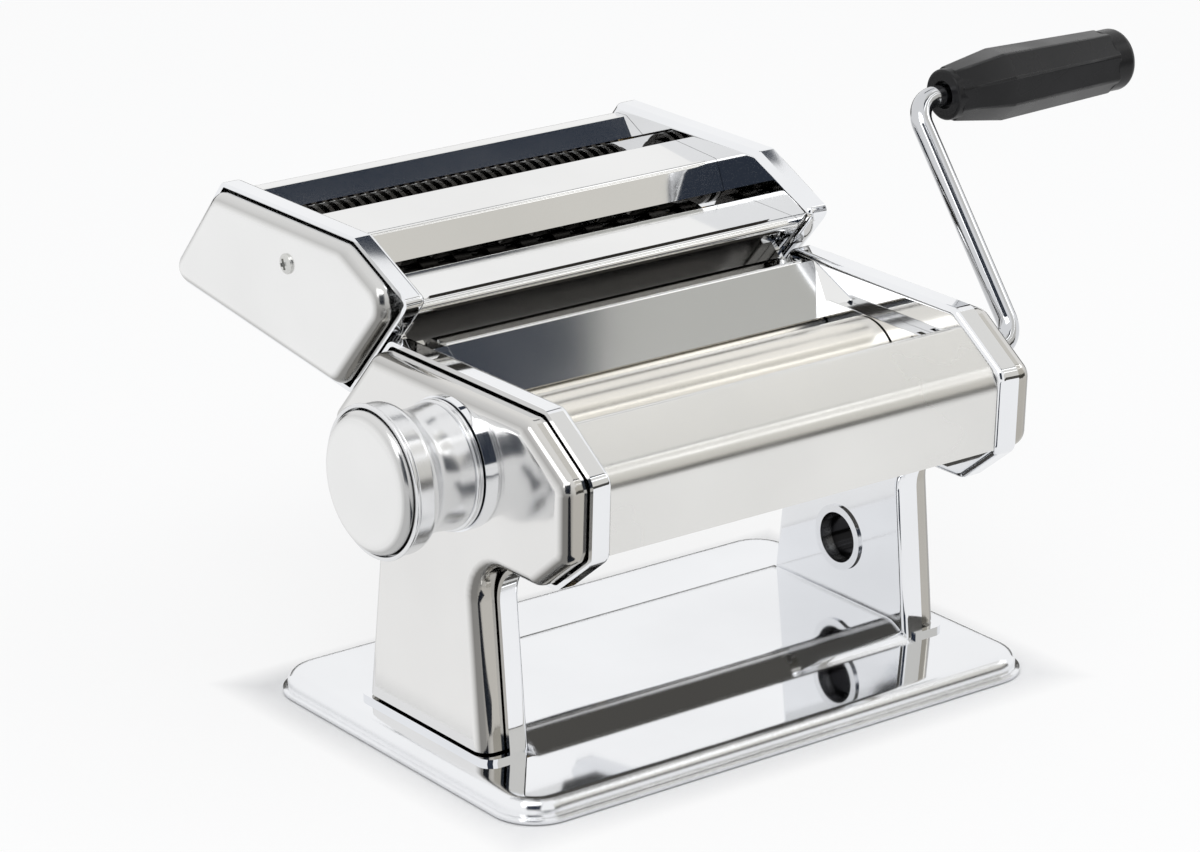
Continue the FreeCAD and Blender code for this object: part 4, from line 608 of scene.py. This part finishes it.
KNOB_Y, KNOB_Z = -19.0, 99.8
KNOB_BASE, KNOB_END = -93.6, -120.0
KNOB_BORE, KNOB_HOLLOW = 5.2, 8.6
KNOB_SEAT, FACE_SEAT = KNOB_BASE - 4.5, KNOB_END + 2.5
RIM_RADIUS, DRUM_RADIUS, FACE_RADIUS = 23.8, 23.2, 22.4
COLLAR_RADIUS, WAIST_RADIUS = 20.2, 18.6
knob_mesh = bmesh.new()
spun(knob_mesh, (
    (KNOB_BASE, KNOB_BORE, 0), (KNOB_SEAT, KNOB_BORE, 0), (KNOB_SEAT, KNOB_HOLLOW, 0),
    (FACE_SEAT, KNOB_HOLLOW, 0), (FACE_SEAT, FACE_RADIUS + 0.1, 0), (KNOB_END, FACE_RADIUS + 0.1, 0.3),
    (KNOB_END, RIM_RADIUS, 0.55), (KNOB_END + 1.3, RIM_RADIUS, 0.45),
    (KNOB_END + 1.5, DRUM_RADIUS - 0.5, 0.1), (KNOB_END + 1.9, DRUM_RADIUS, 0.2),
    (KNOB_END + 8.0, DRUM_RADIUS, 1.6),
    (KNOB_END + 11.0, COLLAR_RADIUS, 2.2), (KNOB_END + 15.5, WAIST_RADIUS, 4.0),
    (KNOB_BASE - 2.6, COLLAR_RADIUS - 0.7, 0.1), (KNOB_BASE - 2.4, COLLAR_RADIUS - 1.1, 0.1),
    (KNOB_BASE - 2.1, COLLAR_RADIUS, 0.3), (KNOB_BASE - 1.2, COLLAR_RADIUS, 0.1),
    (KNOB_BASE - 1.0, COLLAR_RADIUS - 0.4, 0), (KNOB_BASE - 0.8, COLLAR_RADIUS, 0.1),
    (KNOB_BASE, COLLAR_RADIUS, 0.3)), KNOB_Y, KNOB_Z, True)
spun_chrome = finish_of("spun_chrome", (0.80, 0.805, 0.815), 0.19, 0.25,
                        lines=(2500.0, 40.0, 40.0), depth=0.000003)
finished("knob_cup", knob_mesh, spun_chrome, "knob", "knob")
satin_face = finish_of("satin_face", (0.88, 0.88, 0.875), 0.16, 0.22,
                       lines=(60.0, 700.0, 700.0), depth=0.000003)
face_mesh = bmesh.new()
spun(face_mesh, (
    (FACE_SEAT, 0, 0), (FACE_SEAT, FACE_RADIUS, 0.3), (KNOB_END + 0.6, FACE_RADIUS - 0.4, 0.4),
    (KNOB_END - 0.9, FACE_RADIUS - 0.5, 0.7), (KNOB_END - 2.5, FACE_RADIUS - 1.9, 1.0),
    (KNOB_END - 3.3, FACE_RADIUS - 4.4, 1.5), (KNOB_END - 3.65, FACE_RADIUS - 9.0, 2.5),
    (KNOB_END - 3.8, 0, 0)), KNOB_Y, KNOB_Z, False)
# Painted shade at the face's rounded rim, standing in for dark reflections there.
painted_bend_shade(satin_face, (0.50, 0.50, 0.50), (0.55, 0.55, 0.55))
finished("knob_disc", face_mesh, satin_face, "knob", "knob_face")

# Ears of the feed plate: its ends are sheared on a slant and folded forward to the side plates,
# so that no dough gets past the roller's ends.
EAR_OUT, EAR_IN = 74.7, 69.8
EAR_TOP = (13.0, 123.6)
EAR_FOOT = (-1.7, 109.7)
EAR_NOSE = (-6.1, 115.3)
EAR_WALL = 0.8
ear_mesh = bmesh.new()
for side in (-1, 1):
    top = ear_mesh.verts.new((side * EAR_OUT, *EAR_TOP))
    foot = ear_mesh.verts.new((side * EAR_IN, *EAR_FOOT))
    inner = ear_mesh.verts.new((side * EAR_IN, *EAR_TOP))
    nose = ear_mesh.verts.new((side * EAR_OUT, *EAR_NOSE))
    ear_mesh.faces.new((top, foot, inner))
    ear_mesh.faces.new((top, nose, foot))
bmesh.ops.recalc_face_normals(ear_mesh, faces=ear_mesh.faces)
bmesh.ops.solidify(ear_mesh, geom=ear_mesh.faces[:], thickness=EAR_WALL)
finished("feed_plate_ears", ear_mesh, bright_sheet, "frame", "feed_plate", False)

# Crank: a chromed steel rod, bent twice, with its foot pressed into the shaft of the pinion.
# The shaft runs in two bushes, one in the side plate and one in the cover.
plated_rod = finish_of("plated_rod", (0.62, 0.63, 0.65), 0.07, 0.12)
coat(plated_rod, "crank_rod", "crank_shaft", "crank_bushes")

# Grip: black moulded plastic, eight-sided with a cone towards the rod, and a round cap at its end.
# It turns freely on the rod, and a collar closes it where the rod goes in.
GRIP_Y, GRIP_Z = 3.253, 173.424
GRIP_START = 119.8
GRIP_SIDES = 8
GRIP_STATIONS = ((2.0, 9.1), (22.0, 12.2), (70.0, 10.9))
GRIP_EDGE = 0.7
GRIP_BORE, MOUTH_RADIUS, MOUTH_DEPTH = 4.6, 8.7, 4.0
GRIP_END = GRIP_START + 77.5
CAP_LENGTH, CAP_RADIUS = 9.0, 10.4
PLASTIC_SHINE = 0.20
black_plastic = finish_of("black_plastic", (0.013, 0.013, 0.014), 0.24, 0.34, metallic=0.0,
                          lines=(900.0, 900.0, 900.0), depth=0.00001, size=60.0, dull=0.75)
plastic_shader = black_plastic.node_tree.nodes["Principled BSDF"]
plastic_shader.inputs["Specular IOR Level"].default_value = PLASTIC_SHINE
grip_mesh = bmesh.new()
bmesh.ops.create_circle(grip_mesh, cap_ends=True, segments=GRIP_SIDES, radius=1.0)
stand_up = Matrix.Rotation(math.pi / 2, 4, "Y") @ Matrix.Rotation(math.pi / GRIP_SIDES, 4, "Z")
bmesh.ops.transform(grip_mesh, matrix=stand_up, verts=grip_mesh.verts)
end_face = grip_mesh.faces[:][0]
for station, (reach, radius) in enumerate(GRIP_STATIONS):
    if station:
        grown = bmesh.ops.extrude_face_region(grip_mesh, geom=[end_face])["geom"]
        end_face = [piece for piece in grown if isinstance(piece, bmesh.types.BMFace)][0]
    middle = end_face.calc_center_median()
    size = (end_face.verts[0].co - middle).length
    for corner in end_face.verts:
        corner.co = Vector((GRIP_START + reach, GRIP_Y, GRIP_Z)) + (corner.co - middle) * (radius / size)
bmesh.ops.recalc_face_normals(grip_mesh, faces=grip_mesh.faces)
bmesh.ops.bevel(grip_mesh, geom=grip_mesh.edges[:], offset=GRIP_EDGE, offset_type="OFFSET", segments=3,
                profile=0.5, affect="EDGES", material=-1)
spun(grip_mesh, (
    (GRIP_START, GRIP_BORE, 0.4), (GRIP_START, MOUTH_RADIUS - 0.4, 0.8),
    (GRIP_START + MOUTH_DEPTH, MOUTH_RADIUS, 0), (GRIP_START + MOUTH_DEPTH, GRIP_BORE, 0)),
    GRIP_Y, GRIP_Z, True, 64)
finished("moulded_grip", grip_mesh, black_plastic, "grip", "crank_grip")
cap_mesh = bmesh.new()
spun(cap_mesh, (
    (GRIP_END - CAP_LENGTH, 0, 0), (GRIP_END - CAP_LENGTH, CAP_RADIUS - 0.1, 0.3),
    (GRIP_END - 0.6, CAP_RADIUS, 2.8), (GRIP_END, 0, 0)), GRIP_Y, GRIP_Z, False, 96)
finished("moulded_cap", cap_mesh, black_plastic, "grip", "grip_cap")

# Cutter frame: two flanged side plates like the machine's own, chromed, with three folded sheets
# of bright stainless hooked in between them, which leave a fine and a wide slot.
coat(chrome_plate, "cutter_left_plate", "cutter_right_plate")
coat(bright_sheet, "cutter_back_panel", "cutter_middle_panel", "cutter_front_panel")

# Cutting rollers: steel with turned grooves that mesh in pairs, a fine pair and a wide one, coloured near
# black as painted shade inside their slots.
# They run in brass bushes, with milled gears at the crank's end.
shaded_cutting_steel = finish_of("shaded_cutting_steel", (0.045, 0.042, 0.038), 0.22, 0.32,
                          lines=(1500.0, 60.0, 60.0), depth=0.000005)
coat(shaded_cutting_steel, "fine_cutter_front", "fine_cutter_rear", "wide_cutter_front", "wide_cutter_rear")
coat(bush_brass, "cutter_bushes")
coat(milled_gear, "fine_gear_front", "fine_gear_rear", "wide_gear_front", "wide_gear_rear")


# Cutter covers: caps drawn from sheet, with broad soft edges and a pale satin face.
# The right one has two holes for the crank, one for each pair of cutting rollers.
def rounded_ring(mesh, outline, inset, x, steps=6):
    """A ring of points at one X, round an outline of Y, Z and corner radius that is moved inwards."""
    ring = []
    for place, (y, z, radius) in enumerate(outline):
        corner = Vector((y, z))
        arriving = corner - Vector(outline[place - 1][:2])
        leaving = Vector(outline[(place + 1) % len(outline)][:2]) - corner
        first = Vector((-arriving.y, arriving.x)).normalized()
        second = Vector((-leaving.y, leaving.x)).normalized()
        centre = corner + (first + second) * radius / (1 + first.dot(second))
        for step in range(steps + 1):
            way = first.slerp(second, step / steps)
            ring.append(mesh.verts.new((x, *(centre - way * (radius - inset)))))
    return ring


def punched(blank_mesh, punch_mesh):
    """The first mesh with the second taken out of it."""
    blanks = []
    for name, mesh in (("blank", blank_mesh), ("punch", punch_mesh)):
        data = bpy.data.meshes.new(name)
        mesh.to_mesh(data)
        mesh.free()
        blanks.append(bpy.data.objects.new(name, data))
        scene.collection.objects.link(blanks[-1])
    punch = blanks[0].modifiers.new("punch", "BOOLEAN")
    punch.operation = "DIFFERENCE"
    punch.object = blanks[1]
    result = bmesh.new()
    result.from_mesh(blanks[0].evaluated_get(bpy.context.evaluated_depsgraph_get()).data)
    for blank in blanks:
        bpy.data.objects.remove(blank)
    return result


COVER_FACE, COVER_START = 88.0, 76.8
COVER_SOFTNESS, COVER_STEPS = 5.0, 8
COVER_SHEET = 1.0
COVER_OUTLINE = ((48.06, 103.83, 7.0), (146.9, 116.2, 5.6), (117.97, 150.6, 8.0), (44.5, 150.6, 9.0),
                 (17.84, 138.0, 8.0))
CRANK_HOLES = ((87.7, 133.0), (47.5, 123.0))
CRANK_HOLE_RADIUS = 6.0
PUNCH_REACH = 3.0
pale_satin = finish_of("pale_satin", (0.885, 0.885, 0.88), 0.16, 0.22)
# Painted shade on the cutter covers' walls and soft edges, standing in for dark reflections.
painted_bend_shade(pale_satin, (0.40, 0.395, 0.38), (0.30, 0.295, 0.285))
for word, side in (("left", -1), ("right", 1)):
    cover_mesh = bmesh.new()
    rings = [rounded_ring(cover_mesh, COVER_OUTLINE, 0.0, side * COVER_START)]
    for step in range(COVER_STEPS + 1):
        turn = math.pi / 2 * step / COVER_STEPS
        rings.append(rounded_ring(cover_mesh, COVER_OUTLINE, COVER_SOFTNESS * (1 - math.cos(turn)),
                                  side * (COVER_FACE - COVER_SOFTNESS * (1 - math.sin(turn)))))
    for near, far in zip(rings, rings[1:]):
        for place in range(len(near)):
            cover_mesh.faces.new((near[place - 1], near[place], far[place], far[place - 1]))
    cover_mesh.faces.new(rings[-1])
    bmesh.ops.recalc_face_normals(cover_mesh, faces=cover_mesh.faces)
    bmesh.ops.solidify(cover_mesh, geom=cover_mesh.faces[:], thickness=COVER_SHEET)
    bmesh.ops.recalc_face_normals(cover_mesh, faces=cover_mesh.faces)
    if side > 0:
        hole_mesh = bmesh.new()
        for y, z in CRANK_HOLES:
            spun(hole_mesh, (
                (COVER_FACE - PUNCH_REACH, 0, 0), (COVER_FACE - PUNCH_REACH, CRANK_HOLE_RADIUS, 0),
                (COVER_FACE + PUNCH_REACH, CRANK_HOLE_RADIUS, 0), (COVER_FACE + PUNCH_REACH, 0, 0)),
                y, z, False, 48)
        cover_mesh = punched(cover_mesh, hole_mesh)
    finished("drawn_%s_cutter_cover" % word, cover_mesh, pale_satin, "cutter", "cutter_%s_cover" % word)

# Cutter cover screws: zinc-plated screws with a domed head and a cross recess,
# one through the middle of each cover.
SCREW_Y, SCREW_Z = 73.5, 138.0
HEAD_RADIUS, HEAD_HEIGHT = 3.3, 1.4
SHANK_RADIUS, SHANK_LENGTH = 1.5, 6.0
CROSS_SPAN, CROSS_DEPTH = 3.6, 1.0
CROSS_TURN = math.radians(20.0)
screw_mesh = bmesh.new()
cross_mesh = bmesh.new()
for side in (-1, 1):
    shank_end = side * (COVER_FACE - SHANK_LENGTH)
    seat = side * COVER_FACE
    head_top = side * (COVER_FACE + HEAD_HEIGHT)
    spun(screw_mesh, (
        (shank_end, 0, 0), (shank_end, SHANK_RADIUS, 0), (seat, SHANK_RADIUS, 0), (seat, HEAD_RADIUS, 0),
        (seat + side * 0.6, HEAD_RADIUS, 0.3), (head_top - side * 0.1, HEAD_RADIUS - 1.0, 0.6),
        (head_top, 0, 0)), SCREW_Y, SCREW_Z, False, 48)
    grid = bmesh.ops.create_grid(cross_mesh, x_segments=3, y_segments=3, size=CROSS_SPAN / 2)["verts"]
    squares = {face: face.calc_center_median() for corner in grid for face in corner.link_faces}
    outer = [face for face, middle in squares.items() if min(abs(middle.x), abs(middle.y)) > CROSS_SPAN / 4]
    bmesh.ops.delete(cross_mesh, geom=outer, context="FACES")
    grid = [corner for corner in grid if corner.is_valid]
    turn = Matrix.Rotation(side * math.pi / 2, 4, "Y") @ Matrix.Rotation(CROSS_TURN, 4, "Z")
    place = Matrix.Translation((head_top - side * CROSS_DEPTH, SCREW_Y, SCREW_Z))
    bmesh.ops.transform(cross_mesh, matrix=place @ turn, verts=grid)
    plus = list({face for corner in grid for face in corner.link_faces})
    grown = bmesh.ops.extrude_face_region(cross_mesh, geom=plus)["geom"]
    top = [piece for piece in grown if isinstance(piece, bmesh.types.BMVert)]
    bmesh.ops.translate(cross_mesh, vec=(side * CROSS_DEPTH * 2, 0, 0), verts=top)
bmesh.ops.recalc_face_normals(cross_mesh, faces=cross_mesh.faces)
screw_mesh = punched(screw_mesh, cross_mesh)
finished("cross_head_screws", screw_mesh, zinc_screw, "cutter", "cutter_cover_screws")
